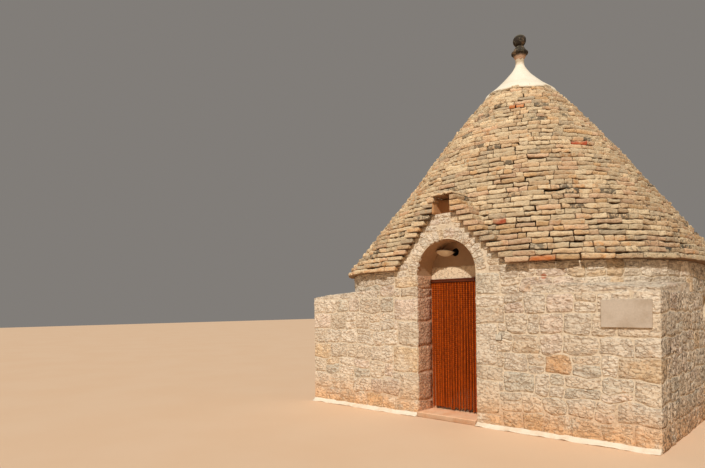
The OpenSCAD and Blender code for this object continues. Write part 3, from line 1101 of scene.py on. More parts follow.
@dataclass(frozen=True)
class PaleCasing:
    """Weathered pale plastic of the bell's plate."""

    base: Colour = tint(206, 196, 176)
    grime: Colour = tint(150, 134, 110)
    # colour of the painted shadow along the plate's lower and right edges
    rim: Colour = tint(84, 64, 46)
    shadow_x: Pair = (0.862, 0.871)
    shadow_z: Pair = (1.168, 1.180)

    def material(self) -> Material:
        """Builds the finish: an even shell colour with grime in clouds, and a painted shadow along the
        lower and right edges.

        Returns:
            The material.
        """
        work = Shader("pale_casing", self.base)
        work.paint(work.noise(18.0, 4.0, 0.6).ramp(0.45, 0.75, 0.0, 0.6), self.grime)
        x, _, z = work.axes()
        # painted shadow: the lower and right edges are darkened
        dark = z.ramp(*self.shadow_z, 0.85, 0.0).most(x.ramp(*self.shadow_x, 0.0, 0.85))
        work.paint(dark, self.rim)
        gloss = work.noise(60.0).ramp(0.2, 0.8, 0.45, 0.6)
        return work.finish(gloss, work.noise(240.0, 2.0), 0.0006)


# Profiles


def carried(draft: Draft, profile: Array, stations: Array, noise: float, size: float, seed: int) -> None:
    """Carries a profile along X: every station repeats it, pushed by noise in Y and Z.

    Args:
        draft: Mesh under work.
        profile: y and z of the profile's points, in order.
        stations: x of each station.
        noise: How far noise pushes a point.
        size: Width of the noise's bumps.
        seed: Number of the noise.
    """
    points = np.stack(np.broadcast_arrays(stations[:, None], profile[:, 0], profile[:, 1]), -1)
    points[..., 1:] += rough_moves(points, size, noise, seed, 2)
    draft.add_tubes(points[None])


def rounded_profile(low: Sequence[float], high: Sequence[float], radius: float, steps: int = 4) -> Array:
    """Works out a rectangle whose corners are quarter circles.

    Args:
        low: Its corner with the lowest measures.
        high: The opposite corner.
        radius: Radius of the corners.
        steps: Points in each corner.

    Returns:
        Points of the profile, in order.
    """
    turn = np.linspace(0, np.pi / 2, steps)
    centres = [(high[0], high[1]), (low[0], high[1]), (low[0], low[1]), (high[0], low[1])]
    sides = [(-1, -1), (1, -1), (1, 1), (-1, 1)]
    rows = []
    for k, ((x, y), (sx, sy)) in enumerate(zip(centres, sides)):
        angle = turn + k * np.pi / 2
        across = x + sx * radius + radius * np.cos(angle)
        rows.append(np.stack([across, y + sy * radius + radius * np.sin(angle)], -1))
    return np.concatenate(rows)


def refined(profile: Array, step: float) -> Array:
    """Adds points to the long sides of a closed profile, by equal parts of each side.

    Args:
        profile: Points of the profile, in order.
        step: Longest distance that is left between two points.

    Returns:
        The profile with its new points.
    """
    rows = []
    for here, after in zip(profile, np.roll(profile, -1, axis=0)):
        count = max(1, int(math.ceil(np.linalg.norm(after - here) / step)))
        rows += [here + (after - here) * k / count for k in range(count)]
    return np.array(rows)


# The roof


@dataclass(frozen=True)
class RoofForm(House):
    """Plan of the stepped roof, from a rectangle with round corners to a circle."""

    eave_over: float = 0.155
    crown_r: float = 0.575
    bow: float = 0.156
    round_share: float = 0.5
    courses: int = 40
    slab_depth: float = 0.22
    gable_w: float = 1.70
    gable_step: float = 0.068
    gable_courses: int = 13
    gable_flare: float = 0.13
    niche_courses: int = 3
    verge_lap: float = 0.21
    verge_over: float = 0.10
    niche_w: float = 0.30
    niche_d: float = 0.20
    ridge_end: float = 0.03

    def share(self, index: int) -> float:
        """Share of the roof's height at the middle of a course."""
        return (index + 0.5) / self.courses

    def half(self, side: float, index: int) -> float:
        """Half size of a course: straight half run plus corner radius, with the outward bow."""
        return self._straight(side, index) + self.radius(index)

    def _straight(self, side: float, index: int) -> float:
        """Half of the straight run of a side at a course.

        Args:
            side: Half width or half depth of the walls.
            index: Course.

        Returns:
            The half run.
        """
        share = self.share(index)
        blend = min(1.0, share / self.round_share)
        start = self.wall_round + self.eave_over
        return (side + self.eave_over - start) * (1 - blend) * (1 - share)

    def radius(self, index: int) -> float:
        """Radius of a course's corners: blends from the wall's to the crown's, and bows out.

        Args:
            index: Course.

        Returns:
            The radius.
        """
        share = self.share(index)
        blend = min(1.0, share / self.round_share)
        mean = (self.half_w + self.half_d) / 2 + self.eave_over
        foot = mean * blend + (self.wall_round + self.eave_over) * (1 - blend)
        return (1 - share) * foot + self.crown_r * share + 4 * self.bow * share * (1 - share)

    def outline(self, index: int) -> Outline:
        """Closed line of a course's outer face, from the middle of the front to the right.

        Args:
            index: Course.

        Returns:
            The line.
        """
        x, y = self.half(self.half_w, index), self.half(self.half_d, index)
        r = self.radius(index) - 1e-4
        stops = [(0, -y, 0), (x, -y, r), (x, y, r), (-x, y, r), (-x, -y, r)]
        return Outline.through(stops, closed=True)

    def gable_half(self, index: int) -> float:
        """Half width of the gable wall at a course."""
        return max(self.gable_w / 2 - index * self.gable_step, self.niche_w / 2)

    def gable_more(self, index: float) -> float:
        """What the gable's right side adds at a course, fading out over six courses."""
        return self.gable_flare * min(1.0, max(0.0, 1 - index / 6)) ** 1.5

    def verge_half(self, index: int) -> float:
        """Half width of the gable with its verge slabs at a course."""
        wide = self.gable_w / 2 - index * self.gable_step + self.verge_lap
        return max(wide, self.niche_w / 2 + self.ridge_end)

    @property
    def verge_front(self) -> float:
        """Place of the verge slabs' ends in front of the gable."""
        return -self.half_d - self.verge_over


@dataclass
class SlabRoof:
    """The laid slabs of the cone, the eave and the verges beside the gable."""

    form: RoofForm = RoofForm()
    reach: Triple = (2.838, 2.588, 7.0)
    long_foot: float = 0.215
    long_top: float = 0.165
    long_eave: float = 0.34
    gap: float = 0.004
    eave_first: tuple[float, ...] = (0.0, 0.31, 0.63, 0.91)
    stations: tuple[float, ...] = (0.0, 0.03, 0.14, 0.28, 0.43, 0.57, 0.72, 0.86, 0.97, 1.0)
    inset: tuple[float, ...] = (0.010, 0.001, 0.0, 0.0, 0.003, 0.010, 0.030, 1.0, 1.0)
    level: tuple[float, ...] = (0.02, 0.14, 0.38, 0.64, 0.86, 0.97, 1.0, 0.96, 0.0)
    spots: tuple[tuple[float, float, float, Kind, float], ...] = (
        (0.83, -2.32, 2.74, Kind.RED, 0.0), (1.44, -2.54, 2.20, Kind.ORANGE, 0.0),
        (1.13, -2.59, 2.20, Kind.PINK, 0.0), (1.74, -2.45, 2.20, Kind.OCHRE, 0.0),
        (0.33, -0.92, 4.77, Kind.ORANGE, 0.0), (0.42, -0.88, 4.77, Kind.ORANGE, 0.0),
        (1.89, -2.19, 2.51, Kind.OCHRE, 0.0), (1.28, -0.86, 3.99, Kind.RED, 0.0),
        (1.95, -2.04, 2.67, Kind.GREY, 0.3), (0.78, -1.04, 4.46, Kind.CREAM, 1.0),
        (-0.19, -1.27, 4.38, Kind.CREAM, 0.8), (0.26, -1.55, 3.99, Kind.TAN, 1.0),
        (1.14, -1.81, 3.45, Kind.CREAM, 1.0), (0.53, -2.22, 3.21, Kind.TAN, 1.0),
        (-0.10, -1.97, 3.37, Kind.CREAM, 1.0), (0.83, -2.02, 3.14, Kind.TAN, 0.8),
        (1.48, -1.54, 3.14, Kind.CREAM, 1.0), (1.72, -1.30, 3.14, Kind.CREAM, 0.8),
        (0.13, -2.21, 3.14, Kind.GREY, 1.0), (1.66, -2.39, 2.59, Kind.CREAM, 1.0),
        (1.42, -2.43, 2.36, Kind.GREY, 0.8), (1.87, -2.33, 2.51, Kind.CREAM, 0.8),
        (2.53, -1.52, 2.28, Kind.CREAM, 1.0), (-1.43, -2.31, 2.43, Kind.CREAM, 1.0),
        (2.19, -1.65, 2.74, Kind.TAN, 0.8), (-2.49, -1.08, 2.59, Kind.CREAM, 1.0),
    )
    tiers: tuple[tuple[str, int, int], ...] = (
        ("eave_course", 0, 0),
        ("roof_tier_1", 1, 8),
        ("roof_tier_2", 9, 16),
        ("roof_tier_3", 17, 24),
        ("roof_tier_4", 25, 32),
        ("roof_tier_5", 33, 39),
    )

    def joints(self, index: int, start: float, end: float, seed: int) -> Array:
        """Shares a length out between slabs of uneven width.

        Args:
            index: Course, which sets the usual width.
            start: Where the run starts along its line.
            end: Where it ends.
            seed: Number of the series of widths.

        Returns:
            Places of the joints, the two ends among them.
        """
        usual = self.long_foot + (self.long_top - self.long_foot) * self.form.share(index)
        usual = self.long_eave if index == 0 else usual
        count = max(1, round((end - start) / usual))
        return shared_out(start, end, 0.5 + 1.1 * drawn(count, seed) ** 1.4)

    def lay(
        self,
        draft: Draft,
        line: Outline,
        joints: Array,
        index: int,
        depth: float,
        seed: int,
        heavy: float = 1.0,
    ) -> None:
        """Lays slabs between joints: a rounded profile carried along each slab's chord.

        Args:
            draft: Mesh under work.
            line: The course's outer face.
            joints: Places of the joints along it.
            index: Course.
            depth: How far the slabs reach in from the face.
            seed: Number of the series for their shapes.
            heavy: Thickness against that of common slabs.
        """
        count = len(joints) - 1
        keys = np.stack([np.arange(count), np.full(count, index)], -1)
        draw = [hashed(keys, seed + k) for k in range(8)]
        share = np.array(self.stations)
        low = joints[:-1] + self.gap * (0.2 + 2.8 * draw[0] ** 3)
        high = joints[1:] - self.gap * (0.2 + 2.8 * draw[1] ** 3)
        along = (low[:, None] + (high - low)[:, None] * share)[:, :, None]
        thick = self.form.course * (0.70 + 0.30 * draw[2] ** 0.7) * heavy
        lift = (self.form.course - thick) * 0.7 * draw[3]
        out = 0.020 * (draw[4] - 0.5) - 0.007
        yaw = 0.030 * (draw[5] - 0.5)
        inset, level = np.array(self.inset), np.array(self.level)
        back = inset > 0.9
        tilt = 0.010 * (hashed(keys, seed + 20) - 0.5)
        reach = np.where(back, depth, inset)
        away = out[:, None, None] + yaw[:, None, None] * (2 * share - 1)[:, None] - reach
        base = self.form.wall_h + index * self.form.course
        height = base + lift[:, None, None] + thick[:, None, None] * level
        height = height + tilt[:, None, None] * (2 * share - 1)[:, None] * (level > 0.3)
        along, away, height = np.broadcast_arrays(along, away, height)
        points = line.place(along, away, height)
        ends = [line.place(e[:, None, None], away, height) for e in (low, high)]
        chord = ends[0] * (1 - share)[None, :, None, None] + ends[1] * share[None, :, None, None]
        points = 0.35 * points + 0.65 * chord
        middle = points.mean(axis=2, keepdims=True)
        worn = np.where((share < 0.01) | (share > 0.99), 0.86, 1.0)[None, :, None, None]
        points[..., 2:] = middle[..., 2:] + (points[..., 2:] - middle[..., 2:]) * worn
        points[:, 0] += 0.006 * (middle[:, 1] - middle[:, 0]) / 0.03
        shift = rough_moves(points, 0.045, 0.0110, seed + 90, 3, 2)
        shift += rough_moves(points, 0.15, 0.007, seed + 95, 3, 1)
        shift[..., 2] *= 0.8
        points = points + shift * np.where(back, 0.15, 1.0)[None, None, :, None]
        points = np.clip(points, -np.array(self.reach), self.reach)
        hue = draw[7] * Kind.ORANGE.value
        lichen = (hashed(keys, seed + 21) < 0.035) * 0.9
        face = points[:, len(share) // 2, 2]
        for *spot, kind, growth in self.spots:
            near = np.linalg.norm((face - np.array(spot)) * np.array([1.0, 1.0, 4.0]), axis=1)
            if near.min() < 0.18:
                hue[near.argmin()], lichen[near.argmin()] = kind.mark, growth
        tone, hue, lichen = (mark[:, None, None] for mark in (draw[6], hue, lichen))
        draft.add_tubes(points, tone=tone, hue=hue, edge=lichen, rise=level)

    def verge(self, draft: Draft, index: int, side: int, seed: int) -> None:
        """Lays one course of a verge: slabs end to end from the gable's front into the cone.

        Args:
            draft: Mesh under work.
            index: Course.
            side: 1 on the right, -1 on the left.
            seed: Number of the series for their shapes.
        """
        form = self.form
        edge = form.verge_half(index)
        width = edge - form.gable_half(index) - 0.002
        edge += form.gable_more(index) if side > 0 else 0.0
        reach = -form.half(form.half_d, index) + 0.16
        back = max(reach, form.verge_front + 0.30)
        front = form.verge_front + (0.08 if index == 0 and side > 0 else 0.0)
        stops = [(side * edge, front, 0.0), (side * edge, back, 0.0)]
        line = Outline.through(stops if side > 0 else stops[::-1])
        count = max(1, round((back - form.verge_front) / 0.30))
        joints = np.linspace(0, line.length, count + 1)
        self.lay(draft, line, joints, index, width, seed)

    def course(self, draft: Draft, index: int) -> None:
        """Lays one course: the ring, open at the gable, and its verge slabs.

        Args:
            draft: Mesh under work.
            index: Course.
        """
        form = self.form
        line = form.outline(index)
        start, end = 0.0, line.length
        if index < form.gable_courses:
            right = line.points[:, 0].argmax()
            ends = form.verge_half(index) - 0.05 + np.array([form.gable_more(index), 0.0])
            start, rest = np.interp(ends, line.points[:right, 0], line.lengths[:right])
            end = line.length - rest
            if index == 0:
                start = float(form.gable_half(0) + form.gable_more(0))
            self.verge(draft, index, 1, 500 + index)
            self.verge(draft, index, -1, 700 + index)
        joints = self.joints(index, start, end, 40 + index)
        if index >= form.gable_courses:
            joints = joints + hashed(np.array([[index]]), 44)[0] * line.length
        if index == 0:
            joints = self.joints(index, start + self.eave_first[-1], end, 40)
            joints = np.concatenate([start + np.array(self.eave_first[:-1]), joints])
        self.lay(draft, line, joints, index, form.slab_depth, 11)

    def ridge(self, draft: Draft) -> None:
        """Lays the slab over the niche, across the gable's top.

        Args:
            draft: Mesh under work.
        """
        form = self.form
        half = form.verge_half(form.gable_courses)
        line = Outline.through([(-half, form.verge_front, 0), (half, form.verge_front, 0)])
        depth = 0.10 - form.verge_front - form.half(form.half_d, form.gable_courses)
        joints = np.array([0.0, 0.21, line.length])
        self.lay(draft, line, joints, form.gable_courses, depth, 321, 0.52)

    def niche_lining(self, render: Material) -> None:
        """Builds the render inside the niche: a U on plan, carried up its height.

        Args:
            render: Its finish.
        """
        form = self.form
        foot = form.wall_h + (form.gable_courses - form.niche_courses) * form.course
        half, back = form.niche_w / 2 - 0.010, form.niche_d - form.half_d - 0.010
        front = 0.085 + form.half_d
        wall = np.array([(half, -front), (half, back - 0.04), (half - 0.04, back), (0.0, back)])
        wall = np.concatenate([wall, wall[-2::-1] * np.array([-1.0, 1.0])])
        outer = wall * np.array([1.10, 1.0]) + np.array([0.0, 0.02]) * (wall[:, 1:] > back - 0.05)
        profile = refined(np.concatenate([wall, outer[::-1]]), 0.05)
        heights = np.linspace(foot - 0.004, foot + form.niche_courses * form.course - 0.001, 7)[:, None]
        points = np.stack(np.broadcast_arrays(profile[:, 0], profile[:, 1], heights), -1)
        points[..., :2] += rough_moves(points, 0.12, 0.003, 641, 2, 2)
        draft = Draft()
        draft.add_tubes(points[None])
        draft.build("niche_render", render, "render_brown")

    def build(self, stone: Material, render: Material) -> None:
        """Builds one object a tier, the ridge slab and the niche's render.

        Args:
            stone: Finish of the slabs.
            render: Finish of the niche.
        """
        for name, first, last in self.tiers:
            draft = Draft()
            for index in range(first, last + 1):
                self.course(draft, index)
            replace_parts(draft.build("laid_" + name, stone, "limestone_slab"), name)
        draft = Draft()
        self.ridge(draft)
        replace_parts(draft.build("laid_ridge_slab", stone, "limestone_slab"), "ridge_slab")
        self.niche_lining(render)


# The walls


class Bed(NamedTuple):
    """Place of one stone on a surface: its ends along and across it, in metres.

    bend is the place along it of a corner that the stone turns, and dressed is 1 for sawn stone.
    """

    low: float
    high: float
    foot: float
    head: float
    bend: float = math.nan
    dressed: float = 0.0


@dataclass(frozen=True)
class Beds:
    """Places of many stones, one array for each of a bed's measures."""

    low: Array
    high: Array
    foot: Array
    head: Array
    bend: Array
    dressed: Array

    @classmethod
    def of(cls, rows: Sequence[Bed]) -> "Beds":
        """Gathers single beds."""
        return cls(*np.array(rows, float).T)


@dataclass
class HewnBlocks:
    """Lays rough blocks on a surface, each a swollen sheet whose rim sinks into the wall."""

    joint: float = 0.0014
    proud: float = 0.0045
    sink: float = 0.03
    relief: float = 0.0100
    plate: tuple[float, float, float, float] = (2.373, 0.31, 1.515, 0.21)
    columns: tuple[float, ...] = (
        0.0, 0.02, 0.10, 0.20, 0.30, 0.40, 0.50, 0.60, 0.70, 0.80, 0.90, 0.98, 1.0,
    )
    rows: tuple[float, ...] = (0.0, 0.025, 0.13, 0.26, 0.38, 0.50, 0.62, 0.74, 0.87, 0.975, 1.0)
    marked: tuple[tuple[float, float, Kind], ...] = (
        (1.586, 0.841, Kind.ORANGE), (1.184, 0.231, Kind.OCHRE),
        (1.984, 1.718, Kind.TAN), (1.011, 1.535, Kind.PINK), (-0.521, 2.119, Kind.OCHRE),
        (1.94, 0.888, Kind.GREY), (2.40, 0.14, Kind.GREY),
    )

    def lay(self, draft: Draft, beds: Beds, place: Placing, seed: int) -> None:
        """Adds the blocks of some beds to a mesh.

        Args:
            draft: Mesh under work.
            beds: Places of the blocks.
            place: Turns measures along, out and across the surface into points.
            seed: Number of the series for their shapes.
        """
        count = len(beds.low)
        draw = [drawn(count, seed + 1000 * (k + 1)) for k in range(6)]
        share_a = np.broadcast_to(self.columns, (count, len(self.columns))).copy()
        bent = ~np.isnan(beds.bend)
        middle = ((np.nan_to_num(beds.bend) - beds.low) / (beds.high - beds.low))[:, None]
        edge = (0.013 / (beds.high - beds.low))[:, None]
        steps = np.array([0.25, 0.5, 0.75])
        before = 0.03 + (middle - edge - 0.03) * steps
        after = middle + edge + (0.97 - middle - edge) * steps
        around = np.concatenate([before, middle - edge, middle, middle + edge, after], axis=1)
        share_a[bent, 2:11] = around[bent]
        share_b = np.array(self.rows)
        low, high = beds.low + self.joint * (0.5 + draw[0]), beds.high - self.joint * (0.5 + draw[1])
        foot = beds.foot + self.joint * (0.5 + draw[2])
        head = beds.head - self.joint * (0.5 + draw[3])
        along = low[:, None, None] + (high - low)[:, None, None] * share_a[:, None, :]
        across = foot[:, None, None] + (head - foot)[:, None, None] * share_b[None, :, None]
        along, across = np.broadcast_arrays(along, across)
        a = 2 * share_a[:, None, :] - 1
        b = (2 * share_b - 1)[None, :, None]
        side = np.stack([along, across, np.full(along.shape, 0.37)], -1)
        wander = [rough(side, 0.26, 0.032, seed + 7 * k, 3) for k in (1, 2)]
        hold = np.where(bent, 0.3, 1.0)[:, None, None]
        wide, tall = (high - low)[:, None, None], (head - foot)[:, None, None]
        along_now = along + (wander[0] - a * b**6 * 0.014) * hold
        across_now = across + wander[1] - b * a**6 * 0.014
        rim = (np.abs(a) > 0.999) | (np.abs(b) > 0.999)
        brim = (np.abs(a) > 0.93) | (np.abs(b) > 0.91)
        hard = np.where(beds.dressed > 0.5, 0.8, 1.0)[:, None, None]
        flat = place(along_now, np.zeros(along_now.shape), across_now)
        middle_x, middle_y = flat[..., 0], flat[..., 1]
        tilt = 0.006 * ((draw[4] - 0.5)[:, None, None] * a + (draw[5] - 0.5)[:, None, None] * b)
        bent_side = side + 0.05 * value_noise(side, 0.11, seed + 15)[..., None]
        ridges = 0.5 - np.abs(value_noise(bent_side, 0.085, seed + 5))
        grain = rough(side, 0.065, self.relief, seed + 6, 2) + 0.012 * ridges
        out = np.maximum(self.proud + (tilt + grain) * hard, 0.0022)
        seam = np.clip(0.26 + 1.1 * value_noise(side, 0.20, seed + 16), 0.0, 0.8)
        out = np.where(brim, seam * out + 0.0016, out)
        x, half_x, z, half_z = self.plate
        plate = (np.abs(middle_x - x) < half_x) & (np.abs(across_now - z) < half_z)
        out = np.where(plate & (middle_y < -2.4), np.minimum(out, 0.004), out)
        out = np.where(rim, -self.sink, out)
        points = place(along_now, out, across_now)
        points[..., 2] = np.maximum(points[..., 2], 0.0)
        hue = drawn(count, seed + 8) * Kind.ORANGE.value
        middles = points[:, len(self.rows) // 2, len(self.columns) // 2]
        for x, z, kind in self.marked:
            near = np.linalg.norm(middles - np.array([x, -House.half_d, z]), axis=1)
            if near.min() < 0.2:
                hue[near.argmin()] = kind.mark
        hue, tone = hue[:, None, None], drawn(count, seed + 9)[:, None, None]
        reach = 0.5 * np.minimum(wide * (1 - np.abs(a)), tall * (1 - np.abs(b)))
        near = np.clip(1 - reach / 0.032, 0, 1)
        draft.add_sheets(points, tone=tone, hue=hue, edge=near, rise=beds.dressed[:, None, None])


@dataclass(frozen=True)
class Masonry(House):
    """The blocks of the square walls, the rounded walls above them and the gable.

    The doorway's blocks are given by the height of their heads and their reach from the jamb.
    """

    rusty: Triple = (1.41, 1.76, 0.841)
    quoin_right: tuple[Pair, ...] = (
        (0.18, 0.36), (0.64, 0.33), (0.81, 0.40), (1.38, 0.31), (1.62, 0.42), (1.76, 0.33), (2.06, 0.36),
    )
    quoin_left: tuple[Pair, ...] = (
        (0.22, 0.40), (0.62, 0.34), (1.02, 0.46), (1.40, 0.36), (1.76, 0.44), (1.90, 0.30), (2.06, 0.42),
    )
    window: tuple[float, float, float, float] = (-0.17, 0.21, 1.426, 1.71)
    courses: tuple[float, ...] = (0.0, 0.26, 0.50, 0.77, 1.02, 1.26, 1.52, 1.77)
    courses_above: tuple[float, ...] = (1.77, 1.96, 2.16)
    block_long: float = 0.30
    split: float = 0.24
    ring_out: float = 0.655
    ring_stones: int = 19
    rubble_in: float = 0.675
    rubble_long: float = 0.17
    gable_half: float = 0.85
    gable_levels: tuple[float, ...] = (2.06, 2.16, 2.25, 2.35, 2.45, 2.54, 2.63, 2.70, 2.79, 2.87, 2.94)
    blocks: HewnBlocks = field(default_factory=HewnBlocks)

    def line(self, corner_r: float) -> Outline:
        """Line of the walls, from the right jamb round the house to the left one.

        Args:
            corner_r: Radius of the house's corners.

        Returns:
            The line.
        """
        w, d, a, e, r = self.half_w, self.half_d, self.arch_r, 0.015, corner_r
        stops = [(a, self.recess, 0), (a, -d, e), (w, -d, r), (w, d, r)]
        stops += [(-w, d, r), (-w, -d, r), (-a, -d, e), (-a, self.recess, 0)]
        return Outline.through(stops)

    def _jambs(self, line: Outline) -> list[tuple[int, float, list[Triple]]]:
        """Lists the two jambs and their blocks.

        Args:
            line: Line of the wall.

        Returns:
            For each jamb the way along the line that leads off from the doorway, the place of its
            corner, and the foot, head and reach of each block.
        """
        jambs = []
        for way, plan in ((1, self.quoin_right), (-1, self.quoin_left)):
            feet = [0.0] + [head for head, _ in plan]
            blocks = [(foot, head, reach) for foot, (head, reach) in zip(feet, plan)]
            jambs.append((way, line.corners[0] if way > 0 else line.corners[-1], blocks))
        return jambs

    def _quoins(self, line: Outline) -> list[Bed]:
        """Beds of the doorway's big blocks along a line, which turn the corner into the recess.

        Args:
            line: Line of the wall.

        Returns:
            The beds.
        """
        rows = []
        for way, corner, blocks in self._jambs(line):
            into = (corner if way > 0 else line.length - corner) - 0.004
            for foot, head, reach in blocks:
                ends = sorted((corner - way * into, corner + way * reach))
                rows.append(Bed(*ends, foot, head, corner, 1.0))
        return rows

    @staticmethod
    def _reach(blocks: Sequence[Triple], foot: float, head: float) -> float:
        """Longest reach of a jamb's blocks between two heights."""
        return max(far for low, high, far in blocks if low < head - 0.03 and high > foot + 0.03)

    def _fillers(self, line: Outline, foot: float, head: float) -> list[Bed]:
        """Beds of small blocks between the doorway's shorter blocks and the end of a course.

        Args:
            line: Line of the wall.
            foot: Lower height of the course.
            head: Upper height.

        Returns:
            The beds.
        """
        rows = []
        for way, corner, blocks in self._jambs(line):
            far = self._reach(blocks, foot, head)
            for bottom, top, reach in blocks:
                low, high = max(foot, bottom), min(head, top)
                if far - reach > 0.03 and high - low > 0.03:
                    rows.append(Bed(*sorted((corner + way * reach, corner + way * far)), low, high))
        return rows

    def _fill(self, start: float, end: float, foot: float, head: float, seed: int) -> list[Bed]:
        """Beds of common blocks between two places in a course, some of them split in two.

        Args:
            start: Where the stretch starts along the wall.
            end: Where it ends.
            foot: Lower height of the course.
            head: Upper height.
            seed: Number of the series of widths.

        Returns:
            The beds.
        """
        if end - start < 0.06:
            return []
        count = max(1, round((end - start) / self.block_long))
        joints = shared_out(start, end, 0.6 + 0.9 * drawn(count, seed))
        rows = []
        for index, (low, high) in enumerate(zip(joints, joints[1:])):
            pick = float(hashed(np.array([[index, seed]]), 77)[0])
            cut = foot + (head - foot) * (0.36 + 0.3 * ((pick * 7) % 1))
            if pick < self.split and head - foot > 0.18:
                rows += [Bed(low, high, foot, cut), Bed(low, high, cut, head)]
            else:
                rows.append(Bed(low, high, foot, head))
        return rows

    def _course(self, line: Outline, foot: float, head: float, number: int, rounded: bool) -> list[Bed]:
        """Beds of one course right round the house.

        Args:
            line: Line of the wall.
            foot: Lower height of the course.
            head: Upper height.
            number: Number of the course.
            rounded: Whether the corners are the wide round ones, which need no corner blocks.

        Returns:
            The beds.
        """
        right, left = (
            corner + way * self._reach(blocks, foot, head) for way, corner, blocks in self._jambs(line)
        )
        rows = self._fillers(line, foot, head)
        if rounded:
            return rows + self._fill(right, left, foot, head, 900 + number)
        start = right
        if foot < self.rusty[2] < head:
            low, high = (line.corners[0] - self.arch_r + x for x in self.rusty[:2])
            rows += self._fill(start, low, foot, head, 30) + [Bed(low, high, foot, head)]
            start = high
        for k, corner in enumerate(line.corners[1:-1]):
            before, after = (0.44, 0.27) if (number + k) % 2 else (0.27, 0.42)
            rows += self._beside_window(line, start, corner - before, foot, head, 100 * k + number)
            rows.append(Bed(corner - before, corner + after, foot, head, corner, 1.0))
            start = corner + after
        return rows + self._fill(start, left, foot, head, 450 + number)

    def _beside_window(
        self, line: Outline, start: float, end: float, foot: float, head: float, seed: int
    ) -> list[Bed]:
        """Beds of a stretch of wall, left open for the window and the slab over it.

        Args:
            line: Line of the wall.
            start: Where the stretch starts along it.
            end: Where it ends.
            foot: Lower height of the course.
            head: Upper height.
            seed: Number of the series of widths.

        Returns:
            The beds.
        """
        near, far, sill, lintel = self.window
        corner = line.corners[1] + self.half_d
        low, high = corner + near, corner + far
        if not (start < low and high < end and head > sill):
            return self._fill(start, end, foot, head, seed)
        slab = (low - 0.16, high + 0.16)
        rows = self._fill(start, low if foot < sill else slab[0], foot, head, seed)
        rows += self._fill(high if foot < sill else slab[1], end, foot, head, seed + 50)
        if foot < sill - 0.05:
            rows.append(Bed(low, high, foot, sill, dressed=1.0))
        else:
            rows.append(Bed(slab[0], low, foot, lintel, dressed=1.0))
            rows.append(Bed(high, slab[1], foot, lintel, dressed=1.0))
            rows.append(Bed(*slab, lintel, head, dressed=1.0))
        return rows

    @property
    def ring_mean(self) -> float:
        """Radius on which the ring stones' places are measured."""
        return self.arch_r + 0.09

    def ring_beds(self) -> Beds:
        """Beds of the arch's ring stones: angle times mean radius along, and radius across.

        Returns:
            The beds.
        """
        turns = shared_out(0.0, math.radians(178), 0.7 + 0.6 * drawn(self.ring_stones, 61))
        joints = self.ring_mean * (math.radians(1) + turns)
        heads = self.ring_out + 0.03 * (drawn(self.ring_stones, 64) - 0.5)
        return Beds.of([Bed(a, b, self.arch_r, head) for a, b, head in zip(joints, joints[1:], heads)])

    def rubble_beds(self) -> Beds:
        """Beds of the gable's rubble, from the ring to the verges, level by level.

        Returns:
            The beds.
        """
        rows = []
        roof = RoofForm()
        for number, (foot, head) in enumerate(zip(self.gable_levels, self.gable_levels[1:])):
            level = (foot + head) / 2 - self.spring
            above = (foot + head) / 2 - self.wall_h
            inner = math.sqrt(max(self.rubble_in**2 - level**2, 0.0))
            outer = min(self.gable_half + 0.03 - above * 0.872, self.gable_half)
            more = roof.gable_more(above / self.course) if above > 0 else 0.0
            for side in (-1, 1) if inner > 0.05 else (0,):
                reach = outer + more * (side >= 0)
                start, end = sorted((inner * side, reach * side)) if side else (-outer, reach)
                if end - start < 0.07:
                    continue
                count = max(1, round((end - start) / self.rubble_long))
                joints = shared_out(start, end, 0.6 + 0.9 * drawn(count, 600 + number * 3 + side))
                rows += [Bed(low, high, foot, head) for low, high in zip(joints, joints[1:])]
        return Beds.of(rows)

    def _on_ring(self, turned: Array, out: Array, radius: Array) -> Array:
        """Places points around the arch: the angle is the measure along over the mean radius.

        Args:
            turned: Angle times mean radius.
            out: Distance out of the wall.
            radius: Distance from the arch's middle.

        Returns:
            The points.
        """
        angle = turned / self.ring_mean
        x, z = -radius * np.cos(angle), self.spring + radius * np.sin(angle)
        return np.stack(np.broadcast_arrays(x, -self.half_d - out, z), -1)

    def _on_front(self, along: Array, out: Array, height: Array) -> Array:
        """Places points on the gable's face."""
        return np.stack(np.broadcast_arrays(along, -self.half_d - out, height), -1)

    def build(self, stone: Material) -> None:
        """Builds the blocks of the square walls, of the rounded walls and of the gable.

        Args:
            stone: Finish of the blocks.
        """
        ground, upper = self.line(0.015), self.line(self.wall_round)
        draft = Draft()
        top = self.corner_h
        rows = [bed for bed in self._quoins(ground) if bed.head <= top + 0.1 and bed.foot < top - 0.05]
        rows = [bed._replace(head=min(bed.head, top)) for bed in rows]
        for number, (foot, head) in enumerate(zip(self.courses[:-1], self.courses[1:])):
            rows += self._course(ground, foot, head, number, False)
        self.blocks.lay(draft, Beds.of(rows), ground.place, 3)
        draft.build("blocks_square_walls", stone, "limestone_wall")
        draft = Draft()
        rows = [bed for bed in self._quoins(upper) if bed.head > top + 0.1]
        rows = [bed._replace(foot=max(bed.foot, top)) for bed in rows]
        for number, (foot, head) in enumerate(zip(self.courses_above[:-1], self.courses_above[1:])):
            rows += self._course(upper, foot, head, number, True)
        self.blocks.lay(draft, Beds.of(rows), upper.place, 4)
        draft.build("blocks_rounded_walls", stone, "limestone_wall")
        draft = Draft()
        self.blocks.lay(draft, self.ring_beds(), self._on_ring, 5)
        self.blocks.lay(draft, self.rubble_beds(), self._on_front, 6)
        draft.build("blocks_gable", stone, "limestone_wall")


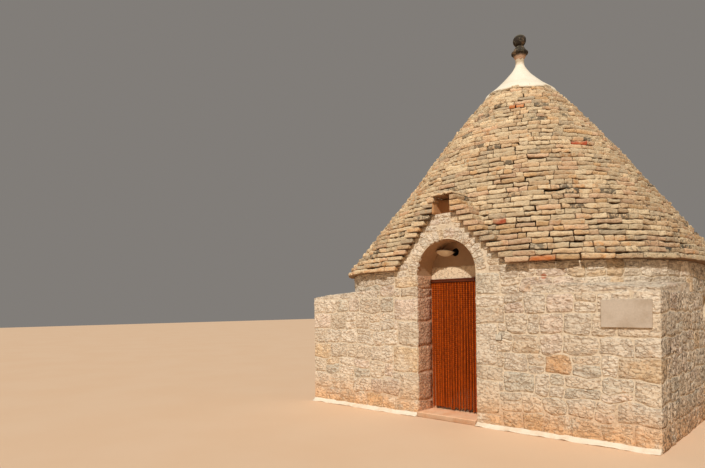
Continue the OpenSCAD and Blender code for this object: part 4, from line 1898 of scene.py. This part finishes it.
@dataclass(frozen=True)
class Ledges(House):
    """Flat stones that cover the sloped ledges on the four square corners."""

    edge: float = 0.02
    climb: float = 0.09
    cells: tuple[float, ...] = (13.0, 27.0, 38.0, 47.0, 58.0, 68.0, 77.0)
    blocks: HewnBlocks = field(
        default_factory=lambda: HewnBlocks(proud=0.006, relief=0.008, sink=0.02)
    )

    def place(self, side_x: int, side_y: int) -> Placing:
        """Makes the function that places points on one ledge's sloped top.

        Args:
            side_x: 1 for a corner on the right, -1 on the left.
            side_y: 1 for a corner at the back, -1 at the front.

        Returns:
            A function of the angle times a mean radius, the height out of the surface, and the
            share of the way from the round wall to the square wall's edge.
        """
        centre = (side_x * (self.half_w - self.wall_round), side_y * (self.half_d - self.wall_round))
        far = self.wall_round * math.sqrt(2)

        def on_ledge(turned: Array, out: Array, share: Array) -> Array:
            """Radius runs from the round wall to where the ray leaves the square corner.

            Args:
                turned: Angle times mean radius.
                out: Height out of the surface.
                share: Share of the way out to the square wall's edge.

            Returns:
                The points.
            """
            angle = turned / 2.0
            limit = self.wall_round / np.maximum(np.cos(angle), np.sin(angle))
            radius = self.wall_round + (limit - self.wall_round) * share
            slope = self.climb * (far - radius) / (far - self.wall_round)
            x = centre[0] + side_x * radius * np.cos(angle)
            y = centre[1] + side_y * radius * np.sin(angle)
            return np.stack(np.broadcast_arrays(x, y, self.corner_h + self.edge + slope + out), -1)

        return on_ledge

    def build(self, stone: Material) -> None:
        """Builds the flat stones of all four ledges as one object.

        Args:
            stone: Their finish.
        """
        draft = Draft()
        turns = np.radians(self.cells) * 2.0
        for number, (side_x, side_y) in enumerate(itertools.product((-1, 1), repeat=2)):
            rows = []
            for k, (low, high) in enumerate(zip(turns[:-1], turns[1:])):
                cut = 0.5 + 0.1 * (k % 3 - 1)
                if k in (1, 2, 3, 4):
                    rows += [Bed(low, high, 0.0, cut), Bed(low, high, cut, 1.0)]
                else:
                    rows.append(Bed(low, high, 0.0, 1.0))
            self.blocks.lay(draft, Beds.of(rows), self.place(side_x, side_y), 20 + number)
        draft.build("ledge_stones", stone, "limestone_dressed")


# The top


@dataclass
class Turned:
    """A shape of revolution about the cone's axis, with a profile of radius and height."""

    around: int = 72

    def add(self, draft: Draft, profile: Array, uneven: float, size: float, seed: int) -> None:
        """Adds a closed turned shape: each point of the profile runs round, pushed by noise.

        Args:
            draft: Mesh under work.
            profile: Radius and height from the bottom to the top, without the poles.
            uneven: How far noise pushes a point in or out, in metres.
            size: Width of the noise's bumps.
            seed: Number of the noise.
        """
        angle = 2 * np.pi * np.arange(self.around) / self.around
        radius, height = profile[:, 0][:, None], profile[:, 1][:, None]
        away = np.stack([np.cos(angle), np.sin(angle)], -1)
        x, y = radius * away[:, 0], radius * away[:, 1]
        points = np.stack(np.broadcast_arrays(x, y, height), -1)
        push = rough(points, size, uneven, seed)
        push[0] = push[-1] = 0
        points[..., :2] += push[..., None] * away
        draft.add_tubes(points[None])


@dataclass
class Crown:
    """The plaster cap, the stone bowl with its lid, and the ball."""

    foot_z: float = 5.28
    cap_h: float = 0.655
    foot_r: float = 0.60
    neck_r: float = 0.072
    power: float = 1.4
    flare: float = 0.87
    lap: float = 0.062
    bowl_h: float = 0.24
    bowl_r: float = 0.142
    lid_r: float = 0.055
    ball_r: float = 0.11
    ball_seat: float = 0.02
    turned: Turned = field(default_factory=Turned)

    def cap(self, plaster: Material) -> None:
        """Builds the cap: the radius falls by a power to the neck, over a ragged foot.

        Args:
            plaster: Its finish.
        """
        share = np.linspace(0, 1, 26) ** 1.2
        fall = np.maximum(1 - share / self.flare, 0.0) ** self.power
        radius = self.neck_r + (self.foot_r - self.neck_r) * fall
        rows = np.stack([radius, self.foot_z + share * self.cap_h], -1)
        lap = self.foot_z - self.lap
        r = self.foot_r
        lip = np.array([[0.40, lap], [r, lap], [r + 0.022, lap], [r + 0.014, lap + 0.03]])
        draft = Draft()
        self.turned.add(draft, np.concatenate([lip, rows]), 0.005, 0.18, 41)
        points = draft.points[-1]
        ring = np.arange(len(points)) // self.turned.around
        angle = np.arctan2(points[:, 1], points[:, 0])
        circle = np.stack([np.cos(angle), np.sin(angle), 0 * angle], -1)
        fall = 0.030 * value_noise(circle * 0.6, 0.20, 43)
        fall += 0.012 * value_noise(circle * 0.6, 0.07, 44)
        weight = np.array([0.0, 0.8, 1.0, 0.8, 0.5, 0.2] + [0.0] * 30)[ring]
        points[:, 2] += fall * weight
        stretch = 1 - 0.9 * fall * weight / self.foot_r
        points[:, :2] *= stretch[:, None]
        cap = draft.build("cap_plaster", plaster, "lime_plaster")
        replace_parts(cap, "plaster_cap")

    def bowl(self, stone: Material) -> None:
        """Builds the bowl: a funnel, a thin rim, and a lid that rises to the ball.

        Args:
            stone: Its finish.
        """
        neck = self.foot_z + self.cap_h
        r, h = self.bowl_r, self.bowl_h
        outline = [
            (0.05, -0.03), (self.neck_r * 0.98, -0.03), (self.neck_r, 0.0), (0.080, h * 0.06),
            (0.094, h * 0.16), (0.110, h * 0.28), (0.122, h * 0.36), (0.128, h * 0.40),
            (r * 0.985, h * 0.41), (r, h * 0.43), (r, h * 0.52), (r * 0.985, h * 0.54),
            (0.122, h * 0.56), (0.108, h * 0.66), (0.092, h * 0.78), (0.074, h * 0.90),
            (self.lid_r, h * 0.975), (0.045, h * 0.985),
        ]
        profile = np.array(outline) + np.array([0.0, neck])
        draft = Draft()
        Turned(48).add(draft, profile, 0.0016, 0.07, 51)
        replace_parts(draft.build("pinnacle_bowl_stone", stone, "weathered_stone"), "pinnacle_bowl")

    def ball(self, stone: Material) -> None:
        """Builds the ball: a sphere worn by noise and a little flattened under its top.

        Args:
            stone: Its finish.
        """
        centre = self.foot_z + self.cap_h + self.bowl_h - self.ball_seat + self.ball_r
        turn = np.linspace(-np.pi / 2, np.pi / 2, 26)[1:-1]
        squash = 1 - 0.03 * np.sin(turn) ** 2
        height = centre + self.ball_r * np.sin(turn) * squash
        profile = np.stack([self.ball_r * np.cos(turn), height], -1)
        draft = Draft()
        Turned(48).add(draft, profile, 0.004, 0.07, 61)
        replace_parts(draft.build("pinnacle_ball_stone", stone, "weathered_stone"), "pinnacle_ball")


# The doorway and the fittings


@dataclass(frozen=True)
class Doorway(House):
    """The threshold, rail, bead curtain and half bowl in the recess."""

    wall_back: float = -1.85
    inner_half: float = 0.43
    threshold_h: float = 0.07
    threshold_out: float = 0.04
    rail_d: float = 0.04
    rail_low: float = 1.975
    rail_top: float = 2.03
    curtain_half: float = 0.484
    curtain_foot: float = 0.082
    strands: int = 42
    bead: float = 0.030
    strand_r: float = 0.0098
    bowl_x: float = -0.2153
    bowl_rim: float = 2.419
    bowl_half: float = 0.1373
    bowl_h: float = 0.054
    bowl_out: float = 0.012
    bowl_tilt: float = 0.1745
    bowl_t: float = 0.014

    def threshold(self, stone: Material) -> None:
        """Builds the doorstep with a rough front edge, and its narrower part behind.

        Args:
            stone: Its finish.
        """
        draft = Draft()
        low, high = (self.front - self.threshold_out, 0.0), (self.recess, self.threshold_h)
        profile = refined(rounded_profile(low, high, 0.010, 5), 0.05)
        half = self.arch_r - 0.006
        carried(draft, profile, np.linspace(-half, half, 42), 0.0035, 0.11, 71)
        points = draft.points[-1]
        points[:, 2] = np.clip(points[:, 2], 0.0, self.threshold_h + 0.004)
        inner = rounded_profile((self.recess, 0.0), (self.wall_back, self.threshold_h), 0.006)
        half = self.inner_half - 0.003
        carried(draft, inner, np.linspace(-half, half, 12), 0.001, 0.1, 72)
        draft.points[-1][:, 2] = np.maximum(draft.points[-1][:, 2], 0.0)
        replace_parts(draft.build("threshold_stone", stone, "limestone_dressed"), "threshold")

    def rail(self, wood: Material) -> None:
        """Builds the rail: a moulded profile with a groove, carried across the recess.

        Args:
            wood: Its finish.
        """
        back, face = self.recess, self.recess - self.rail_d
        low, top = self.rail_low, self.rail_top
        outline = [
            (back, low), (back, top), (face + 0.006, top), (face + 0.001, top - 0.003),
            (face, top - 0.008), (face, top - 0.017), (face + 0.005, top - 0.020),
            (face + 0.005, top - 0.025), (face, top - 0.028), (face, low + 0.006),
            (face + 0.002, low + 0.002), (face + 0.006, low),
        ]
        draft = Draft()
        stations = np.linspace(-self.arch_r, self.arch_r, 24)
        carried(draft, np.array(outline), stations, 0.0003, 0.08, 75)
        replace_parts(draft.build("curtain_rail_wood", wood, "rail_wood"), "curtain_rail")

    def curtain(self, varnish: Material) -> None:
        """Builds the strands: the radius of each swells and shrinks once a bead, six-sided.

        Args:
            varnish: Their finish.
        """
        pitch = 2 * self.curtain_half / self.strands
        count = int((self.rail_low - self.curtain_foot) / self.bead)
        share = np.array([0.0, 0.12, 0.5, 0.88])
        swell = np.array([0.45, 0.9, 1.0, 0.9])
        place = (np.arange(count)[:, None] + share).reshape(-1)
        radius = self.strand_r * np.tile(swell, count)
        place, radius = np.append(place, count), np.append(radius, 0.3 * self.strand_r)
        strand = np.arange(self.strands)
        draw = [drawn(self.strands, 81 + k) for k in range(5)]
        x0 = -self.curtain_half + pitch * (strand + 0.5) + 0.0022 * (draw[0] - 0.5)
        drop = (self.rail_low - self.curtain_foot) / count - 0.00012 * draw[1] * 6
        height = self.rail_low + 0.001 - place[None, :] * drop[:, None]
        hang = self.rail_low - height
        sway = 0.0018 * np.sin(hang * 2.2 + 6 * draw[2][:, None]) * hang
        angle = 2 * np.pi * (np.arange(6) + 0.5) / 6
        depth = self.recess - self.rail_d / 2 + 0.0016 * (draw[3] - 0.5)
        lean = 0.008 * (1 - strand / self.strands)[:, None] * hang / 1.9
        x = x0[:, None, None] + (sway + lean)[:, :, None] + radius[None, :, None] * np.cos(angle)
        y = depth[:, None, None] + radius[None, :, None] * np.sin(angle)
        z = np.broadcast_to(height[:, :, None], x.shape)
        dark = 0.08 + 0.52 * (strand % 2) + 0.28 * draw[4] + 0.14 * strand / self.strands
        beads = hashed(np.stack(np.meshgrid(strand, np.floor(place - 0.01), indexing="ij"), -1), 91)
        draft = Draft()
        points = np.stack([x, y, z], -1)
        draft.add_tubes(points, tone=beads[:, :, None], hue=dark[:, None, None], edge=0.0)
        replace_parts(draft.build("bead_strands", varnish, "curtain_beads"), "bead_curtain")

    def _bowl_side(self, radius: float, centre: float, turn: Array, share: Array) -> Array:
        """Points of a sphere between the wall and the plane of the rim, which rises to the front.

        Args:
            radius: Radius of the sphere.
            centre: Height of its middle.
            turn: Directions on plan, from the middle of the bowl's line on the wall.
            share: Shares of the way from there to the rim.

        Returns:
            Points, as (directions, shares, 3).
        """
        back = np.sin(turn) * math.tan(self.bowl_tilt)
        level = self.bowl_rim - centre
        a = 1 + back**2
        b = np.sin(turn) * self.bowl_out - level * back
        c = self.bowl_out**2 + level**2 - radius**2
        reach = ((np.sqrt(b * b - a * c) - b) / a)[:, None] * share
        x, y = reach * np.cos(turn)[:, None], reach * np.sin(turn)[:, None]
        z = centre - np.sqrt(radius**2 - x * x - (y + self.bowl_out) ** 2)
        return np.stack([self.bowl_x + x, self.recess + y, z], -1)

    def half_bowl(self, stone: Material) -> None:
        """Builds the half bowl: its outer and inner sides joined by a rim, through half a turn.

        Args:
            stone: Its finish.
        """
        rim_r = math.hypot(self.bowl_half, self.bowl_out)
        radius = (rim_r**2 + self.bowl_h**2) / (2 * self.bowl_h)
        centre = self.bowl_rim - self.bowl_h + radius
        turn = np.linspace(np.pi, 2 * np.pi, 33)
        outer = self._bowl_side(radius, centre, turn, np.linspace(0.0, 1.0, 14))
        inner = self._bowl_side(radius - self.bowl_t, centre, turn, np.linspace(1.0, 0.0, 12))
        points = np.concatenate([outer, inner], axis=1)
        points += rough_moves(points, 0.08, 0.0015, 95, 3, 2)
        points[..., 1] = np.minimum(points[..., 1], self.recess)
        draft = Draft()
        draft.add_tubes(points[None])
        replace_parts(draft.build("half_bowl_stone", stone, "limestone_dressed", weld=True), "wall_sconce")


@dataclass(frozen=True)
class Fittings(House):
    """The blank plaque, the bell's plate and the lime fillets along the wall's foot."""

    plaque_low: Pair = (2.108, 1.357)
    plaque_high: Pair = (2.638, 1.672)
    plaque_t: float = 0.030
    bell_low: Pair = (0.785, 1.165)
    bell_high: Pair = (0.875, 1.24)
    bell_t: float = 0.028
    fillet: float = 0.075

    def plate(
        self,
        draft: Draft,
        low: Sequence[float],
        high: Sequence[float],
        thick: float,
        round_by: float,
        uneven: float,
    ) -> None:
        """Adds an upright plate with rounded edges: sections of a round-cornered rectangle.

        Args:
            draft: Mesh under work.
            low: x and z of its lower left corner.
            high: x and z of its upper right corner.
            thick: How far it stands out from the wall.
            round_by: Radius of its edges.
            uneven: How far noise pushes its outline.
        """
        depth = np.array([0.0, 0.2, 0.8, 0.93, 1.0]) * thick
        shrink = np.array([0.0, 0.0, 0.0, 0.25, 1.0]) * round_by
        profile = refined(rounded_profile(low, high, round_by * 1.6), 0.04)
        centre = (np.array(low) + np.array(high)) / 2
        half = (np.array(high) - np.array(low)) / 2
        scale = (half - shrink[:, None]) / half
        flat = centre + (profile[None] - centre) * scale[:, None, :]
        y = np.broadcast_to((self.front - depth)[:, None], flat.shape[:2])
        points = np.stack([flat[..., 0], y, flat[..., 1]], -1)
        points[..., 0] += rough(points, 0.12, uneven, 101, 2)
        points[..., 2] += rough(points, 0.12, uneven, 102, 2)
        draft.add_tubes(points[None])

    def build(self, stone: Material, casing: Material, lime: Material) -> None:
        """Builds the plaque, the bell's plate with its button, and the fillets.

        Args:
            stone: Finish of the plaque.
            casing: Finish of the bell's plate.
            lime: Finish of the fillets.
        """
        draft = Draft()
        self.plate(draft, self.plaque_low, self.plaque_high, self.plaque_t, 0.003, 0.0008)
        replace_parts(draft.build("plaque_stone", stone, "limestone_dressed"), "plaque")
        draft = Draft()
        self.plate(draft, self.bell_low, self.bell_high, self.bell_t * 0.8, 0.004, 0.0)
        middle = (np.array(self.bell_low) + np.array(self.bell_high)) / 2
        self.plate(draft, middle - 0.016, middle + 0.016, self.bell_t, 0.003, 0.0)
        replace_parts(draft.build("bell_plate", casing, "bell_plastic"), "bell_box")
        draft = Draft()
        size, face = self.fillet, self.front
        outline = [
            (face + 0.005, 0.0), (face - size, 0.0), (face - size * 0.97, 0.007),
            (face - size * 0.80, 0.014), (face - size * 0.50, 0.024), (face - size * 0.28, 0.036),
            (face - 0.014, size * 0.66), (face + 0.005, size * 0.72),
        ]
        stretches = ((-self.half_w, -self.arch_r), (self.arch_r, self.half_w))
        for number, (low, high) in enumerate(stretches):
            stations = np.linspace(low, high, 90)
            carried(draft, np.array(outline), stations, 0.009, 0.14, 111 + number)
            points = draft.points[-1]
            points[:, 2] = np.maximum(points[:, 2], 0.0)
            points[:, 1] = np.maximum(points[:, 1], face - size - 0.004)
        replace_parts(draft.build("lime_fillet_strip", lime, "lime_plaster"), "lime_fillet")


# The setting


@dataclass(frozen=True)
class Setting:
    """Floor, light and camera of the picture."""

    eye: Triple = (4.187, -8.886, 1.6)
    yaw: float = 0.7488
    tilt: float = 0.0031
    roll: float = -0.0106
    focal_px: float = 533.59
    centre_px: float = 307.0
    width_px: int = 705
    height_px: int = 468
    sun_from: Triple = (0.18, -0.42, 0.40)
    sun_power: float = 3.05
    sky_power: float = 0.22

    def camera(self) -> None:
        """Sets the camera at the eye, with the view's axis level and a rise of the picture."""
        yaw, tilt, roll = self.yaw, self.tilt, self.roll
        flat = Vector((-math.sin(yaw), math.cos(yaw), 0))
        ahead = flat * math.cos(tilt) + Vector((0, 0, math.sin(tilt)))
        right = Vector((math.cos(yaw), math.sin(yaw), 0))
        up = right.cross(ahead)
        side = right * math.cos(roll) + up * math.sin(roll)
        top = up * math.cos(roll) - right * math.sin(roll)
        data = bpy.data.cameras.new("camera")
        data.sensor_width = 36.0
        data.lens = self.focal_px / self.width_px * data.sensor_width
        data.shift_y = (self.centre_px - self.height_px / 2) / self.width_px
        data.clip_end = 200.0
        camera = bpy.data.objects.new("camera", data)
        turn = Matrix((side, top, -ahead)).transposed().to_4x4()
        camera.matrix_world = Matrix.Translation(self.eye) @ turn
        bpy.context.scene.collection.objects.link(camera)
        bpy.context.scene.camera = camera

    def light(self) -> None:
        """Sets a softened sun and an even pale sky."""
        data = bpy.data.lights.new("sun", "SUN")
        data.energy = self.sun_power
        data.angle = math.radians(1.6)
        data.color = (1.0, 0.97, 0.93)
        sun = bpy.data.objects.new("sun", data)
        sun.rotation_mode = "QUATERNION"
        sun.rotation_quaternion = Vector(self.sun_from).to_track_quat("Z", "Y")
        bpy.context.scene.collection.objects.link(sun)
        world = bpy.data.worlds.new("sky")
        world.use_nodes = True
        back = world.node_tree.nodes["Background"]
        back.inputs["Color"].default_value = (1.0, 0.93, 0.86, 1.0)
        back.inputs["Strength"].default_value = self.sky_power
        bpy.context.scene.world = world
        bpy.context.scene.view_settings.view_transform = "Standard"

    def floor(self) -> None:
        """Sets a plain pale floor that runs far past the house."""
        work = Shader("floor_pale", tint(237, 203, 168))
        work.paint(work.noise(0.7, 3.0).ramp(0.3, 0.7, 0.0, 0.4), tint(233, 194, 155))
        material = work.finish(0.9, work.noise(30.0, 3.0), 0.001)
        far, level = 60.0, -0.001
        corners = [(x * far, y * far, level) for x, y in ((-1, -1), (1, -1), (1, 1), (-1, 1))]
        mesh = bpy.data.meshes.new("floor_plane")
        mesh.from_pydata(corners, [], [(0, 1, 2, 3)])
        mesh.materials.append(material)
        obj = bpy.data.objects.new("floor_plane", mesh)
        bpy.context.scene.collection.objects.link(obj)


def dress_nodes(finishes: dict[str, Material]) -> None:
    """Gives each CAD node that stays in view its finish.

    Args:
        finishes: Finish for each node's name.
    """
    for name, material in finishes.items():
        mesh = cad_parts[name].data
        mesh.materials.clear()
        mesh.materials.append(material)
        log.info("%s: %s", name, material.name)


def main() -> None:
    """Builds the house's pieces in order, then the setting."""
    logging.basicConfig(level=logging.INFO, format="%(message)s", stream=sys.stdout)
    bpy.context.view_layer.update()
    setting = Setting()
    setting.camera()
    setting.light()
    setting.floor()
    slab = SlabStone().material()
    hewn = HewnStone().material()
    pointing = Pointing().material()
    smooth = SmoothStone().material()
    ledge = HewnStone("ledge_stone", soiled=0.0).material()
    render = ArchRender().material()
    plaster = Plaster().material()
    corbel = CorbelStone().material()
    lichened = LichenStone().material()
    wood = StainedWood().material()
    window = StainedWood("window_wood", tint(120, 66, 34), tint(66, 32, 16), (30.0, 30.0, 2.0))
    SlabRoof().build(slab, render)
    Masonry().build(hewn)
    Ledges().build(ledge)
    crown = Crown()
    crown.cap(plaster)
    crown.bowl(lichened)
    crown.ball(lichened)
    doorway = Doorway()
    step = SmoothStone(
        "threshold_stone", tint(252, 206, 164), tint(244, 184, 136), tint(150, 112, 82), 0.006, 0.58
    )
    doorway.threshold(step.material())
    doorway.rail(wood)
    doorway.curtain(BeadVarnish().material())
    doorway.half_bowl(SmoothStone("bowl_stone", tint(236, 218, 188), tint(220, 196, 160)).material())
    plaque = SmoothStone(
        "plaque_stone", tint(196, 180, 160), tint(180, 162, 140), tint(110, 86, 62), 0.003
    )
    fillet = Plaster("fillet_lime", tint(238, 224, 200), tint(218, 186, 150), share=0.9)
    Fittings().build(plaque.material(), PaleCasing().material(), fillet.material())
    walls = [
        "front_wall_left", "front_wall_right", "left_wall", "back_wall", "right_wall_front",
        "right_wall_rear", "right_wall_under_window", "gable_wall",
    ]
    finishes = {name: pointing for name in walls}
    for corner in ("front_left", "front_right", "back_left", "back_right"):
        finishes |= {f"drum_{corner}": pointing, f"ledge_{corner}": ledge}
    finishes |= {f"dome_tier_{k}": corbel for k in (1, 2, 3, 4, 5)}
    finishes |= {"dome_crown": corbel, "floor": smooth, "window_lintel": smooth, "door_lintel": render}
    finishes |= {"tympanum": render, "window_frame": window.material()}
    finishes["window_pane"] = ClearGlass().material()
    dress_nodes(finishes)


if __name__ == "__main__":
    main()
